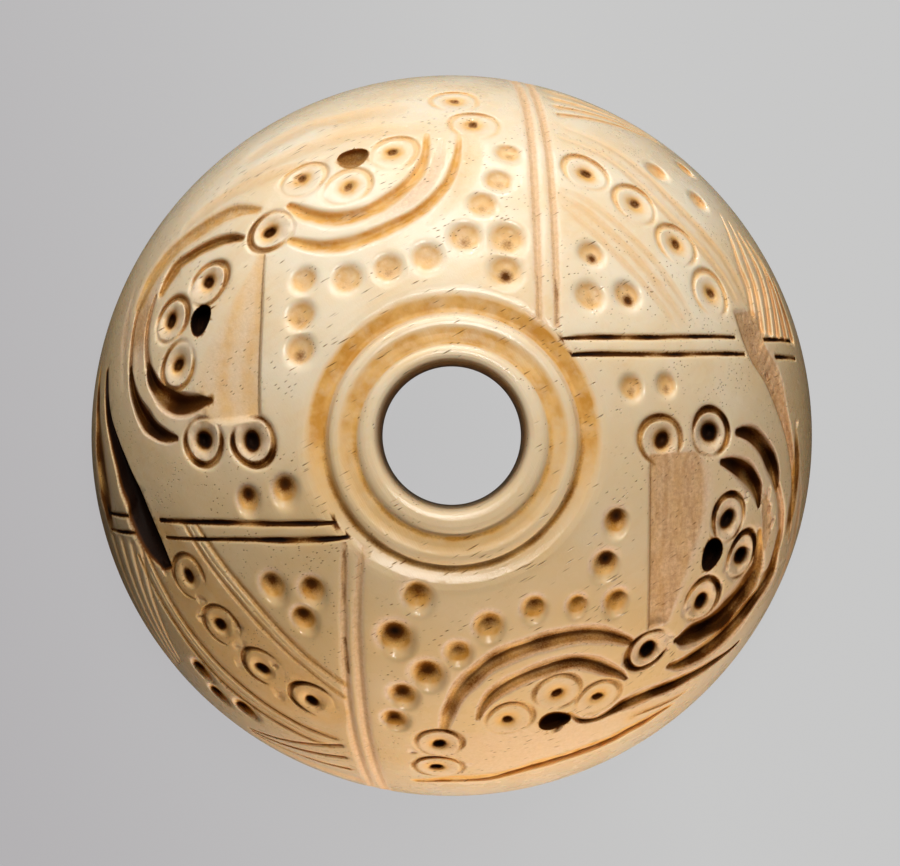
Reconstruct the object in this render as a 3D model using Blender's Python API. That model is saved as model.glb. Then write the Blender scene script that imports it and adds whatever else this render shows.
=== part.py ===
"""Bone spindle whorl: one hemispherical dome of polished bone with an upright spindle hole.

The blank is turned about Z, flat side down, and the ornament is then cut into it with the tools
a bone carver uses: drills for pits, a ring bit for ring-and-dot marks, a graver for lines, a
gouge for the curved channels and a flat scoop for the sunk wedges. Plan positions are in
millimetres, X to the right and Y away, as the dome is seen from above.
"""
import math

import bmesh
import bpy
from mathutils import Matrix, Vector

MM = 0.001

# Driving dimensions of the turned blank, mm
DOME_RADIUS = 15.0
BORE_RADIUS = 2.9
BASE_EDGE_RADIUS = 0.5
BORE_CHAMFER = 0.2
COLLAR_OUTER_RADIUS = 5.9
TURNED_STEPS = 48
DOME_RINGS = 9
SEAM_MERGE = 0.001

# The collar round the bore, as (distance from the axis, depth below the dome), mm
COLLAR_PROFILE = (
    (2.9, 0.50),
    (3.05, 0.16),
    (3.35, 0.00),
    (3.68, 0.05),
    (3.85, 0.20),
    (4.05, 0.09),
    (4.45, 0.09),
    (4.65, 0.00),
    (4.90, 0.08),
    (5.05, 0.42),
    (5.30, 0.42),
    (5.60, 0.16),
)

# Tool sizes, mm; a share is of the tool's own radius, width or depth
TOOL_CLEARANCE = 0.12
PIT_SIDES = 8
PIT_DEPTH_RATIO = 0.75
PIT_FLOOR_SHARE = 0.62
PIT_FLOOR_DEPTH_SHARE = 0.72
PIT_FLARE = 1.12
HOLE_DEPTH = 1.3
HOLE_CONE_WIDTH_SHARE = 0.8
HOLE_CONE_HEIGHT_SHARE = 0.5
RING_RADIUS = 1.02
RING_WIDTH = 0.30
RING_DEPTH = 0.26
RING_SIDES = 11
DOT_RADIUS = 0.45
DOT_DEPTH = 0.55
DOT_SIDES = 6
DOT_WAIST_SHARE = 0.6
DOT_FLARE = 1.2
LINE_SPACING = 2.6
CHANNEL_SPACING = 1.4
CHANNEL_FLOOR_SHARE = 0.50
CHANNEL_FLARE = 1.15
SCOOP_WALL_TOP = 0.10
SCOOP_WALL_FOOT = 0.05
SCOOP_MIDDLE_SHARE = 0.5
SCOOP_MIDDLE_DEPTH_SHARE = 0.7
END_TAPER = 0.25
SPLINTER_TRIM = 0.88
HAIR_LINE = (0.22, 0.20)
BORDER_LINE = (0.34, 0.22)
SOFT_LINE = (0.40, 0.15)
RIM_LINE = (0.30, 0.16)

# Round pits, as (x, y, radius)
PITS_NORTH_WEST = (
    (2.2, 11.3, 0.50), (1.9, 10.1, 0.55), (1.2, 9.1, 0.60), (0.5, 7.8, 0.65),
    (2.2, 7.7, 0.65), (2.1, 6.4, 0.60), (-1.0, 7.0, 0.60), (-2.5, 6.6, 0.55),
    (-4.1, 6.1, 0.60), (-5.8, 6.1, 0.55), (-5.9, 4.7, 0.60), (-5.9, 3.3, 0.60),
)
PITS_SOUTH_EAST = (
    (-2.3, -11.3, 0.50), (-1.9, -10.2, 0.55), (-0.9, -9.4, 0.65), (0.3, -8.5, 0.50),
    (-2.2, -7.9, 0.70), (-1.3, -6.2, 0.60), (1.5, -7.4, 0.55), (3.2, -6.7, 0.50),
    (4.9, -6.6, 0.40), (6.5, -6.5, 0.50), (6.0, -5.0, 0.55), (6.4, -3.3, 0.50),
)
PIT_PAIRS = ((-8.0, -2.5, 0.45), (-6.5, -2.1, 0.50), (7.0, 1.9, 0.45), (8.4, 2.0, 0.42))
PIT_TRIANGLES = (
    (5.5, 7.2, 0.50), (5.4, 5.5, 0.60), (6.9, 5.5, 0.55),
    (-7.0, -5.9, 0.55), (-5.5, -6.0, 0.52), (-5.8, -7.2, 0.50),
)
PITS_AT_RIM = (
    (8.3, 10.7, 0.50), (10.0, 9.5, 0.45), (9.6, 10.8, 0.45),
    (-8.4, -11.1, 0.50), (-10.2, -9.5, 0.50), (-9.5, -10.5, 0.45),
)
DEEP_HOLES = ((-3.9, 11.1, 0.60), (-10.0, 4.7, 0.52), (10.4, -4.7, 0.50), (4.1, -11.4, 0.62))

# Ring-and-dot rows, as (distance from the axis, first bearing, step, count)
RING_ROWS = ((11.8, 29.0, 11.4, 4), (12.0, 208.3, 11.3, 4))

# Ring-and-dot marks of the four comma motifs, with the pair that ends each and the one that joins two
RINGS_NORTH_WEST = (
    (-5.9, 10.2), (-4.2, 9.9), (-2.3, 11.3), (0.2, 13.5), (0.9, 12.4),
    (-9.7, 6.0), (-11.2, 4.6), (-10.9, 2.7), (-9.8, -0.2), (-7.8, -0.2), (-7.2, 8.1),
)
RINGS_SOUTH_EAST = (
    (4.2, -10.2), (5.9, -10.5), (2.3, -11.3), (-0.5, -12.2), (-0.5, -13.5),
    (11.1, -3.3), (11.7, -4.8), (10.0, -6.6), (8.2, -0.2), (10.3, 0.1), (7.8, -8.6),
)

# Straight ruled pairs, as (line size, points)
RULED_LINES = (
    (HAIR_LINE, ((4.2, 3.8), (11.3, 3.9))),
    (HAIR_LINE, ((4.7, 3.15), (11.7, 3.25))),
    (HAIR_LINE, ((12.6, 3.9), (14.0, 3.9))),
    (HAIR_LINE, ((13.1, 3.2), (14.2, 3.2))),
    (HAIR_LINE, ((-4.8, -3.4), (-11.7, -3.4))),
    (HAIR_LINE, ((-3.7, -4.0), (-11.4, -4.1))),
    (HAIR_LINE, ((-13.1, -3.25), (-14.2, -3.2))),
    (HAIR_LINE, ((-12.8, -3.9), (-14.0, -3.9))),
    (BORDER_LINE, ((3.4, 4.7), (3.3, 10.0), (2.8, 14.2), (2.4, 14.9))),
    (BORDER_LINE, ((4.1, 4.7), (4.0, 10.0), (3.4, 13.9), (3.0, 14.8))),
    (BORDER_LINE, ((-4.2, -4.4), (-4.2, -7.8), (-4.0, -11.7), (-3.5, -14.0), (-3.2, -14.7))),
    (BORDER_LINE, ((-3.5, -4.4), (-3.7, -6.7), (-3.6, -10.0), (-3.0, -14.0), (-2.6, -14.9))),
    (SOFT_LINE, ((4.2, 9.6), (9.4, 4.2))),
    (SOFT_LINE, ((4.3, 10.2), (10.1, 4.8))),
    (SOFT_LINE, ((-10.7, -3.6), (-9.2, -6.0), (-7.1, -8.2), (-4.3, -10.4))),
    (SOFT_LINE, ((-10.1, -3.6), (-8.2, -6.3), (-6.0, -8.4), (-4.3, -9.6))),
    (SOFT_LINE, ((4.4, 12.3), (7.9, 10.0), (10.3, 7.7), (11.5, 6.0))),
    (SOFT_LINE, ((4.6, 12.8), (8.0, 10.6), (10.7, 8.0), (12.0, 5.9))),
    (SOFT_LINE, ((-12.6, -4.6), (-11.1, -7.6), (-9.1, -9.7), (-5.0, -12.1))),
    (SOFT_LINE, ((-13.0, -4.8), (-11.5, -7.7), (-9.4, -10.1), (-5.2, -12.6))),
)

# Fans of graved lines near the rim, as (first start, last start, first end, last end, count)
RIM_FANS = (
    ((12.3, 4.4), (14.2, 4.1), (11.0, 9.5), (11.3, 9.7), 4),
    ((-12.6, -4.5), (-14.3, -4.2), (-11.2, -9.4), (-11.4, -9.6), 4),
    ((4.4, 13.2), (4.3, 14.1), (8.4, 11.9), (8.2, 12.3), 3),
    ((-4.6, -12.6), (-4.2, -14.0), (-8.2, -11.9), (-8.0, -12.4), 3),
)

# Gouged channels round the comma motifs, as (width, depth, points along the middle)
CHANNELS = (
    (0.48, 0.30, ((-6.3, 9.0), (-5.2, 8.6), (-3.3, 8.8), (-1.6, 9.9), (-0.9, 11.3), (-1.1, 12.3))),
    (0.45, 0.30, ((-6.4, 7.7), (-4.6, 7.5), (-2.6, 8.1), (-0.8, 9.3), (-0.1, 11.0), (-0.2, 12.0))),
    (0.55, 0.15, ((-0.4, 8.7), (0.4, 9.7), (0.7, 10.8), (0.6, 11.8))),
    (0.42, 0.28, ((-8.2, 9.0), (-10.2, 8.5), (-12.0, 6.7), (-12.8, 4.3), (-12.9, 2.3), (-12.1, 0.4),
                  (-10.9, -0.2))),
    (0.48, 0.34, ((-8.6, 7.9), (-9.9, 7.7), (-11.4, 6.7), (-12.2, 4.9), (-12.2, 2.7))),
    (0.85, 0.55, ((-12.2, 2.9), (-11.8, 1.9), (-11.0, 1.35), (-9.9, 1.4))),
    (0.58, 0.38, ((7.0, -8.2), (5.3, -7.8), (3.3, -8.2), (1.5, -9.0), (0.1, -10.5), (-0.3, -12.0))),
    (0.45, 0.40, ((6.9, -9.5), (5.0, -8.8), (3.1, -9.3), (1.4, -10.8), (0.9, -11.9))),
    (0.50, 0.15, ((-0.5, -10.4), (-0.9, -11.1), (-1.0, -12.0))),
    (0.62, 0.42, ((11.3, 0.2), (12.6, -0.7), (13.2, -2.5), (13.2, -4.5), (12.1, -7.1), (9.9, -8.7),
                  (8.7, -9.1))),
    (0.70, 0.50, ((10.7, -0.9), (12.0, -1.9), (12.5, -3.6), (12.1, -5.6), (10.9, -7.1), (9.1, -8.1))),
    (0.45, 0.30, ((4.7, -11.3), (6.1, -11.3), (7.8, -10.5), (10.3, -9.3), (11.9, -8.4))),
    (0.45, 0.28, ((-1.3, -14.1), (2.4, -13.7), (5.6, -12.6), (9.4, -10.8), (12.2, -7.6), (14.0, -3.4))),
    (0.42, 0.20, ((-5.4, 11.2), (-7.6, 10.6), (-10.0, 9.2), (-11.9, 7.4))),
    (0.42, 0.22, ((-1.3, 13.8), (-4.1, 13.2), (-7.4, 12.0), (-11.2, 8.9), (-13.4, 5.0), (-14.3, 1.9))),
)

# Sunk wedges: points along the steep wall, width of the floor at each end, depth at the wall, and
# the side of the wall the floor lies on (1 for the left hand going along the points)
SCOOPS = (
    (((-7.4, 6.9), (-7.4, 4.0), (-7.4, 1.2)), (0.4, 2.4), (0.20, 0.50), -1),
    (((7.8, -1.2), (7.8, -4.1), (7.8, -7.4)), (2.0, 1.0), (0.35, 0.50), 1),
    (((-14.0, 1.6), (-13.3, -0.5), (-12.3, -2.8), (-11.4, -4.8)), (0.5, 1.6), (0.25, 0.65), -1),
    (((13.9, -1.2), (13.2, 0.6), (12.3, 2.8), (11.3, 4.8)), (0.5, 1.6), (0.25, 0.60), -1),
)

BONE_COLOUR = (0.78, 0.62, 0.42, 1.0)
BONE_ROUGHNESS = 0.32


def clear_scene():
    """Remove every object already in the file."""
    for old in list(bpy.data.objects):
        bpy.data.objects.remove(old, do_unlink=True)


def bone_material():
    """Polished bone, cream with a warm cast."""
    material = bpy.data.materials.new("bone")
    material.use_nodes = True
    shader = material.node_tree.nodes["Principled BSDF"]
    shader.inputs["Base Color"].default_value = BONE_COLOUR
    shader.inputs["Roughness"].default_value = BONE_ROUGHNESS
    shader.inputs["Metallic"].default_value = 0.0
    return material


def dome_point(x, y):
    """Point on the dome above a plan position, as a vector in mm; its direction is the normal."""
    return Vector((x, y, math.sqrt(max(DOME_RADIUS ** 2 - x * x - y * y, 0.0))))


def blank_profile():
    """Closed half section, from the top of the bore down the dome and back along the base."""
    points = []
    for radius, depth in COLLAR_PROFILE:
        points.append((radius, math.sqrt(DOME_RADIUS ** 2 - radius ** 2) - depth))
    top_angle = math.asin(COLLAR_OUTER_RADIUS / DOME_RADIUS)
    low_angle = math.acos(BASE_EDGE_RADIUS / DOME_RADIUS)
    for ring in range(DOME_RINGS + 1):
        angle = top_angle + (low_angle - top_angle) * ring / DOME_RINGS
        points.append((DOME_RADIUS * math.sin(angle), DOME_RADIUS * math.cos(angle)))
    for angle in (45.0, 90.0):
        turn = math.radians(angle)
        points.append((
            DOME_RADIUS - BASE_EDGE_RADIUS * (1.0 - math.cos(turn)),
            BASE_EDGE_RADIUS * (1.0 - math.sin(turn)),
        ))
    points.append((BORE_RADIUS + BORE_CHAMFER, 0.0))
    points.append((BORE_RADIUS, BORE_CHAMFER))
    return points


def turned_blank():
    """The dome with its collar and bore, spun from the half section by a Screw modifier."""
    mesh = bpy.data.meshes.new("whorl")
    points = [Vector((radius, 0.0, height)) * MM for radius, height in blank_profile()]
    count = len(points)
    edges = [(index, (index + 1) % count) for index in range(count)]
    mesh.from_pydata(points, edges, [])
    blank = bpy.data.objects.new("whorl", mesh)
    bpy.context.scene.collection.objects.link(blank)
    screw = blank.modifiers.new("turn", "SCREW")
    screw.angle = math.tau
    screw.steps = TURNED_STEPS
    screw.render_steps = TURNED_STEPS
    screw.use_merge_vertices = True
    screw.merge_threshold = SEAM_MERGE * MM
    screw.use_smooth_shade = True
    return blank


def add_tool(name, vertices, faces, collection):
    """Add one closed cutting tool, its faces pointing out."""
    mesh = bpy.data.meshes.new(name)
    mesh.from_pydata([vertex * MM for vertex in vertices], [], faces)
    work = bmesh.new()
    work.from_mesh(mesh)
    bmesh.ops.recalc_face_normals(work, faces=work.faces)
    work.to_mesh(mesh)
    work.free()
    tool = bpy.data.objects.new(name, mesh)
    tool.hide_render = True
    tool.display_type = "WIRE"
    collection.objects.link(tool)


def bit_matrix(x, y):
    """Frame of a bit held square to the dome over a plan position."""
    point = dome_point(x, y)
    turn = point.to_track_quat("Z", "Y").to_matrix().to_4x4()
    return Matrix.Translation(point) @ turn


def turned_bit(name, x, y, profile, sides, collection):
    """A bit turned from (radius, height) points; the first point is its tip, on the bit's axis."""
    place = bit_matrix(x, y)
    vertices = [place @ Vector((0.0, 0.0, profile[0][1]))]
    for radius, height in profile[1:]:
        for side in range(sides):
            turn = math.tau * side / sides
            vertices.append(place @ Vector((radius * math.cos(turn), radius * math.sin(turn), height)))
    faces = []
    for side in range(sides):
        faces.append((0, 1 + side, 1 + (side + 1) % sides))
    for ring in range(len(profile) - 2):
        low = 1 + ring * sides
        high = low + sides
        for side in range(sides):
            after = (side + 1) % sides
            faces.append((low + side, high + side, high + after, low + after))
    last = 1 + (len(profile) - 2) * sides
    faces.append(tuple(range(last, last + sides)))
    add_tool(name, vertices, faces, collection)


def drill_pit(name, x, y, radius, collection):
    """A shallow round-bottomed pit."""
    depth = radius * PIT_DEPTH_RATIO
    profile = (
        (0.0, -depth),
        (PIT_FLOOR_SHARE * radius, -PIT_FLOOR_DEPTH_SHARE * depth),
        (PIT_FLARE * radius, TOOL_CLEARANCE),
    )
    turned_bit(name, x, y, profile, PIT_SIDES, collection)


def drill_hole(name, x, y, radius, collection):
    """A deep drilled hole with a coned bottom."""
    profile = (
        (0.0, -HOLE_DEPTH),
        (HOLE_CONE_WIDTH_SHARE * radius, HOLE_CONE_HEIGHT_SHARE * radius - HOLE_DEPTH),
        (radius, TOOL_CLEARANCE),
    )
    turned_bit(name, x, y, profile, PIT_SIDES, collection)


def ring_bit(name, x, y, collection):
    """The ring of a ring-and-dot bit: a V section carried round a circle."""
    place = bit_matrix(x, y)
    drop = RING_RADIUS ** 2 / (2.0 * DOME_RADIUS)
    half = 0.5 * RING_WIDTH * (1.0 + TOOL_CLEARANCE / RING_DEPTH)
    section = (
        (RING_RADIUS - half, TOOL_CLEARANCE - drop),
        (RING_RADIUS, -RING_DEPTH - drop),
        (RING_RADIUS + half, TOOL_CLEARANCE - drop),
    )
    vertices = []
    for side in range(RING_SIDES):
        turn = math.tau * side / RING_SIDES
        for radius, height in section:
            vertices.append(place @ Vector((radius * math.cos(turn), radius * math.sin(turn), height)))
    faces = []
    for side in range(RING_SIDES):
        here = side * 3
        there = (side + 1) % RING_SIDES * 3
        for corner in range(3):
            after = (corner + 1) % 3
            faces.append((here + corner, there + corner, there + after, here + after))
    add_tool(name, vertices, faces, collection)


def ring_and_dot(name, x, y, collection):
    """A ring groove and the drilled dot in its middle."""
    ring_bit(name + "_ring", x, y, collection)
    profile = (
        (0.0, -DOT_DEPTH),
        (DOT_WAIST_SHARE * DOT_RADIUS, -DOT_WAIST_SHARE * DOT_DEPTH),
        (DOT_FLARE * DOT_RADIUS, TOOL_CLEARANCE),
    )
    turned_bit(name + "_dot", x, y, profile, DOT_SIDES, collection)


def smooth_route(points, spacing):
    """Points on the dome at even steps along a Catmull-Rom curve through the given plan points."""
    knots = [dome_point(x, y) for x, y in points]
    knots.insert(0, 2.0 * knots[0] - knots[1])
    knots.append(2.0 * knots[-1] - knots[-2])
    route = []
    for index in range(1, len(knots) - 2):
        before, start, end, after = knots[index - 1:index + 3]
        steps = max(1, round((end - start).length / spacing))
        for step in range(steps):
            t = step / steps
            route.append(0.5 * (
                2.0 * start + (end - before) * t
                + (2.0 * before - 5.0 * start + 4.0 * end - after) * t ** 2
                + (3.0 * start - before - 3.0 * end + after) * t ** 3
            ))
    route.append(knots[-2])
    return [DOME_RADIUS * point.normalized() for point in route]


def sweep_tool(name, route, sections, collection):
    """Carry a section along the dome; each section lists (side, height) from the dome's surface."""
    vertices = []
    count = len(route)
    width = len(sections[0])
    for index, point in enumerate(route):
        normal = point.normalized()
        ahead = route[min(index + 1, count - 1)]
        behind = route[max(index - 1, 0)]
        side = normal.cross(ahead - behind).normalized()
        for across, height in sections[index]:
            vertices.append(point + side * across + normal * height)
    faces = [tuple(range(width)), tuple(range((count - 1) * width, count * width))]
    for index in range(count - 1):
        for corner in range(width):
            after = (corner + 1) % width
            here = index * width
            there = here + width
            faces.append((here + corner, there + corner, there + after, here + after))
    add_tool(name, vertices, faces, collection)


def end_taper(index, count):
    """Share of the full cut at a station: shallow where the tool enters and leaves."""
    return END_TAPER if index in (0, count - 1) else 1.0


def graver_cut(name, points, line_size, collection):
    """A V-shaped line of the given width and depth."""
    route = smooth_route(points, LINE_SPACING)
    sections = []
    for index in range(len(route)):
        share = end_taper(index, len(route))
        depth = line_size[1] * share
        half = 0.5 * line_size[0] * (share + TOOL_CLEARANCE / line_size[1])
        sections.append(((-half, TOOL_CLEARANCE), (0.0, -depth), (half, TOOL_CLEARANCE)))
    sweep_tool(name, route, sections, collection)


def gouge_cut(name, points, width, depth, collection):
    """A round-bottomed channel."""
    route = smooth_route(points, CHANNEL_SPACING)
    sections = []
    for index in range(len(route)):
        share = end_taper(index, len(route))
        half = 0.5 * width * (0.5 + 0.5 * share)
        sections.append((
            (-CHANNEL_FLARE * half, TOOL_CLEARANCE),
            (-CHANNEL_FLOOR_SHARE * half, -depth * share),
            (CHANNEL_FLOOR_SHARE * half, -depth * share),
            (CHANNEL_FLARE * half, TOOL_CLEARANCE),
        ))
    sweep_tool(name, route, sections, collection)


def scoop_cut(name, points, widths, depths, hand, collection):
    """A sunk wedge: steep at the wall that the points follow, its floor rising to the far edge."""
    route = smooth_route(points, LINE_SPACING)
    sections = []
    for index in range(len(route)):
        share = index / (len(route) - 1)
        width = widths[0] + (widths[1] - widths[0]) * share
        depth = depths[0] + (depths[1] - depths[0]) * share
        sections.append((
            (-SCOOP_WALL_TOP * hand, TOOL_CLEARANCE),
            (SCOOP_WALL_FOOT * hand, -depth),
            (SCOOP_MIDDLE_SHARE * width * hand, -SCOOP_MIDDLE_DEPTH_SHARE * depth),
            (width * hand, TOOL_CLEARANCE),
        ))
    sweep_tool(name, route, sections, collection)


def carve(blank):
    """Make every tool and cut them all from the blank with one Boolean."""
    tools = bpy.data.collections.new("carving_tools")
    bpy.context.scene.collection.children.link(tools)
    pits = PITS_NORTH_WEST + PITS_SOUTH_EAST + PIT_PAIRS + PIT_TRIANGLES + PITS_AT_RIM
    for index, (x, y, radius) in enumerate(pits):
        drill_pit(f"pit_{index}", x, y, radius, tools)
    for index, (x, y, radius) in enumerate(DEEP_HOLES):
        drill_hole(f"deep_hole_{index}", x, y, radius, tools)
    rings = list(RINGS_NORTH_WEST + RINGS_SOUTH_EAST)
    for distance, first, step, count in RING_ROWS:
        for index in range(count):
            bearing = math.radians(first + step * index)
            rings.append((distance * math.cos(bearing), distance * math.sin(bearing)))
    for index, (x, y) in enumerate(rings):
        ring_and_dot(f"mark_{index}", x, y, tools)
    for index, (line_size, points) in enumerate(RULED_LINES):
        graver_cut(f"line_{index}", points, line_size, tools)
    for fan, (start_a, start_b, end_a, end_b, count) in enumerate(RIM_FANS):
        for index in range(count):
            share = index / (count - 1)
            start = Vector(start_a).lerp(Vector(start_b), share)
            end = Vector(end_a).lerp(Vector(end_b), share)
            graver_cut(f"fan_{fan}_{index}", (start, end), RIM_LINE, tools)
    for index, (width, depth, points) in enumerate(CHANNELS):
        gouge_cut(f"channel_{index}", points, width, depth, tools)
    for index, (points, widths, depths, hand) in enumerate(SCOOPS):
        scoop_cut(f"scoop_{index}", points, widths, depths, hand, tools)
    cut = blank.modifiers.new("carving", "BOOLEAN")
    cut.operation = "DIFFERENCE"
    cut.operand_type = "COLLECTION"
    cut.collection = tools
    cut.solver = "EXACT"
    trim = blank.modifiers.new("trim_splinters", "DECIMATE")
    trim.decimate_type = "COLLAPSE"
    trim.ratio = SPLINTER_TRIM


def build():
    """Build the whorl."""
    clear_scene()
    whorl = turned_blank()
    carve(whorl)
    whorl.data.materials.append(bone_material())


build()
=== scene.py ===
import functools
import math

import bpy
import numpy as np
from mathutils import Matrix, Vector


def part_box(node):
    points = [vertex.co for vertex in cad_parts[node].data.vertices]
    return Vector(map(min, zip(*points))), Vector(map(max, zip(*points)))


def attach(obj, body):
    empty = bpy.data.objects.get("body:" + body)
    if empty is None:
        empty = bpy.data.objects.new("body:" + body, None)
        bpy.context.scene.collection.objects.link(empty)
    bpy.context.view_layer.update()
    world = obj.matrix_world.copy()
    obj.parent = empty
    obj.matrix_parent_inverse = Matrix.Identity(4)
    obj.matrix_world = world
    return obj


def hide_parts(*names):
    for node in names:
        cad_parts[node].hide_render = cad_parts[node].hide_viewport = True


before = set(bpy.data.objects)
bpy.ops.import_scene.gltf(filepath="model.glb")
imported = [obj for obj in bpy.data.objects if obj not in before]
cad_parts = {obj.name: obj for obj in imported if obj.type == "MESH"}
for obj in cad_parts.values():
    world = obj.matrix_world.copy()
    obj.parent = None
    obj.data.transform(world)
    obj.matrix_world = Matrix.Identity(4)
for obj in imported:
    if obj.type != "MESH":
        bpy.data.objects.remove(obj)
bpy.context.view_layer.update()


# ------------------------------------------------------------------------------------------------
# The whorl: one dome of compact bone. The blank is turned flat side down round an upright spindle
# hole, the ornament is drilled with bits and cut with a graver and a gouge, and the whole is
# polished by hand and by years of thread, which leaves stain and dirt only in the cuts.
# ------------------------------------------------------------------------------------------------
MM = 0.001

# The turned blank, mm; the carver's collar is a little off the axis of the hole
blank_low, blank_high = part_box("whorl")
DOME_RADIUS = round((blank_high.x - blank_low.x) / 2.0 / MM, 1)
BORE_RADIUS = 2.88
BASE_EDGE_RADIUS = 0.5
BORE_EDGE_CHAMFER = 0.25
COLLAR_CENTRE = (0.05, -0.18)

# The collar round the hole: distance from its axis and depth below the dome, mm
COLLAR_PROFILE = (
    (2.88, 0.60), (2.94, 0.30), (3.04, 0.12), (3.20, 0.03), (3.40, 0.00), (3.54, 0.02),
    (3.66, 0.09), (3.74, 0.20), (3.84, 0.22), (4.00, 0.18), (4.20, 0.15), (4.36, 0.09),
    (4.52, 0.02), (4.68, 0.00), (4.82, 0.06), (4.92, 0.30), (5.02, 0.42), (5.16, 0.40),
    (5.36, 0.27), (5.62, 0.12), (5.88, 0.03), (6.10, 0.00), (8.00, 0.00),
)

# Round pits: plan position, radius at the surface, depth (mm) and how much dark fill is left in
# them: dirt, and in the south half painted shade as well
PITS = (
    (2.25, 11.25, 0.52, 0.30, 0.40), (1.85, 10.10, 0.56, 0.32, 0.35),
    (1.20, 9.12, 0.60, 0.34, 0.35), (0.52, 7.80, 0.66, 0.38, 0.50),
    (2.17, 7.74, 0.70, 0.38, 0.50), (2.10, 6.45, 0.64, 0.40, 0.95),
    (-0.97, 7.00, 0.62, 0.32, 0.15), (-2.48, 6.56, 0.60, 0.32, 0.35),
    (-4.10, 6.15, 0.64, 0.32, 0.12), (-5.82, 6.12, 0.56, 0.32, 0.15),
    (-5.92, 4.70, 0.62, 0.34, 0.35), (-5.92, 3.35, 0.62, 0.38, 0.60),
    (-2.26, -11.28, 0.54, 0.42, 0.85), (-1.93, -10.24, 0.60, 0.44, 0.90),
    (-0.95, -9.37, 0.68, 0.50, 0.85), (0.25, -8.50, 0.54, 0.38, 0.55),
    (-2.22, -7.88, 0.72, 0.54, 1.00), (-1.32, -6.22, 0.60, 0.42, 0.60),
    (1.45, -7.42, 0.60, 0.42, 0.60), (3.22, -6.72, 0.52, 0.40, 0.60),
    (4.92, -6.62, 0.44, 0.36, 0.45), (6.48, -6.48, 0.54, 0.44, 0.55),
    (6.02, -5.00, 0.56, 0.50, 1.00), (6.44, -3.32, 0.52, 0.48, 0.95),
    (-8.00, -2.48, 0.50, 0.48, 0.95), (-6.52, -2.08, 0.54, 0.46, 0.90),
    (7.03, 1.88, 0.50, 0.36, 0.45), (8.43, 2.00, 0.46, 0.34, 0.50),
    (5.48, 7.16, 0.54, 0.36, 0.85), (5.40, 5.48, 0.62, 0.36, 0.35),
    (6.90, 5.54, 0.58, 0.42, 1.00), (-7.05, -5.88, 0.58, 0.44, 0.70),
    (-5.48, -6.02, 0.56, 0.46, 0.80), (-5.82, -7.18, 0.54, 0.46, 0.85),
    (8.30, 10.68, 0.52, 0.34, 0.25), (10.00, 9.52, 0.50, 0.34, 0.15),
    (9.57, 10.90, 0.46, 0.32, 0.10), (-10.18, -9.50, 0.54, 0.44, 0.90),
    (-9.53, -10.50, 0.50, 0.42, 0.80), (-8.40, -11.07, 0.54, 0.44, 0.80),
)
# Deep holes: plan position, half widths to the east and to the north, depth (mm), and dirt
DEEP_HOLES = (
    (-3.95, 11.08, 0.66, 0.62, 0.50, 0.44), (-10.00, 4.60, 0.54, 0.66, 1.3, 0.88),
    (10.38, -4.72, 0.58, 0.70, 1.3, 0.88), (4.10, -11.42, 0.68, 0.60, 0.75, 0.70),
)
# Flakes broken out of the edges of the cuts: plan position, radius and depth, mm
CHIPS = (
    (-11.55, -5.35, 0.34, 0.10), (-10.05, -6.55, 0.30, 0.12), (-10.00, -7.35, 0.34, 0.14),
    (-8.55, -7.60, 0.36, 0.14), (-8.40, -8.45, 0.46, 0.14), (-8.50, -9.15, 0.34, 0.10),
    (-7.10, -9.15, 0.24, 0.16), (-6.95, -10.4, 0.36, 0.10), (9.35, -6.95, 0.32, 0.16),
    (10.70, -6.05, 0.34, 0.16), (11.00, -5.25, 0.30, 0.16), (12.25, -3.90, 0.30, 0.10),
    (12.75, -2.35, 0.30, 0.16), (12.80, -2.95, 0.26, 0.14), (12.95, -3.55, 0.28, 0.18),
    (11.75, -2.45, 0.26, 0.12), (10.20, -5.60, 0.34, 0.12), (8.70, -8.05, 0.26, 0.12),
    (6.90, -9.05, 0.24, 0.12), (-1.60, -12.70, 0.26, 0.10), (0.70, -13.30, 0.24, 0.06),
    (-1.10, -13.20, 0.22, 0.06), (14.05, 0.50, 0.22, 0.16), (12.75, 2.35, 0.20, 0.12),
)

# Ring-and-dot marks: plan position (mm), how deep against the full mark, how dirty, and the bearing
# of the side on which the ring was cut deepest
RING_MARKS = (
    (-5.94, 10.22, 0.42, 0.20, 100), (-4.16, 9.88, 0.38, 0.15, 80), (-2.30, 11.28, 0.40, 0.20, 60),
    (0.10, 13.55, 0.32, 0.10, 90), (0.92, 12.45, 0.38, 0.20, 90), (-7.18, 8.13, 0.85, 0.50, 215),
    (-9.70, 6.04, 0.90, 0.55, 50), (-11.20, 4.62, 1.00, 0.60, 60), (-10.92, 2.76, 0.95, 0.50, 245),
    (-9.83, -0.22, 1.15, 0.90, 260), (-7.80, -0.22, 1.15, 0.95, 280), (11.06, -3.28, 1.10, 1.00, 100),
    (11.66, -4.80, 1.20, 0.95, 90), (10.02, -6.56, 1.10, 0.80, 60), (8.22, -0.20, 1.10, 0.70, 100),
    (10.26, 0.12, 1.20, 1.00, 60), (7.83, -8.55, 1.15, 1.00, 240), (4.22, -10.20, 0.60, 0.45, 90),
    (5.85, -10.48, 0.55, 0.45, 100), (2.30, -11.30, 0.65, 0.35, 90), (-0.50, -12.35, 0.70, 0.70, 90),
    (-0.55, -13.40, 0.60, 0.50, 90),
)
# Rows of the same marks: distance from the axis, first bearing, step, count, depth, dirt, deep side
RING_ROWS = ((11.78, 28.8, 11.4, 4, 0.58, 0.20, 90), (11.95, 208.3, 11.3, 4, 0.90, 0.62, 130))
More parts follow.
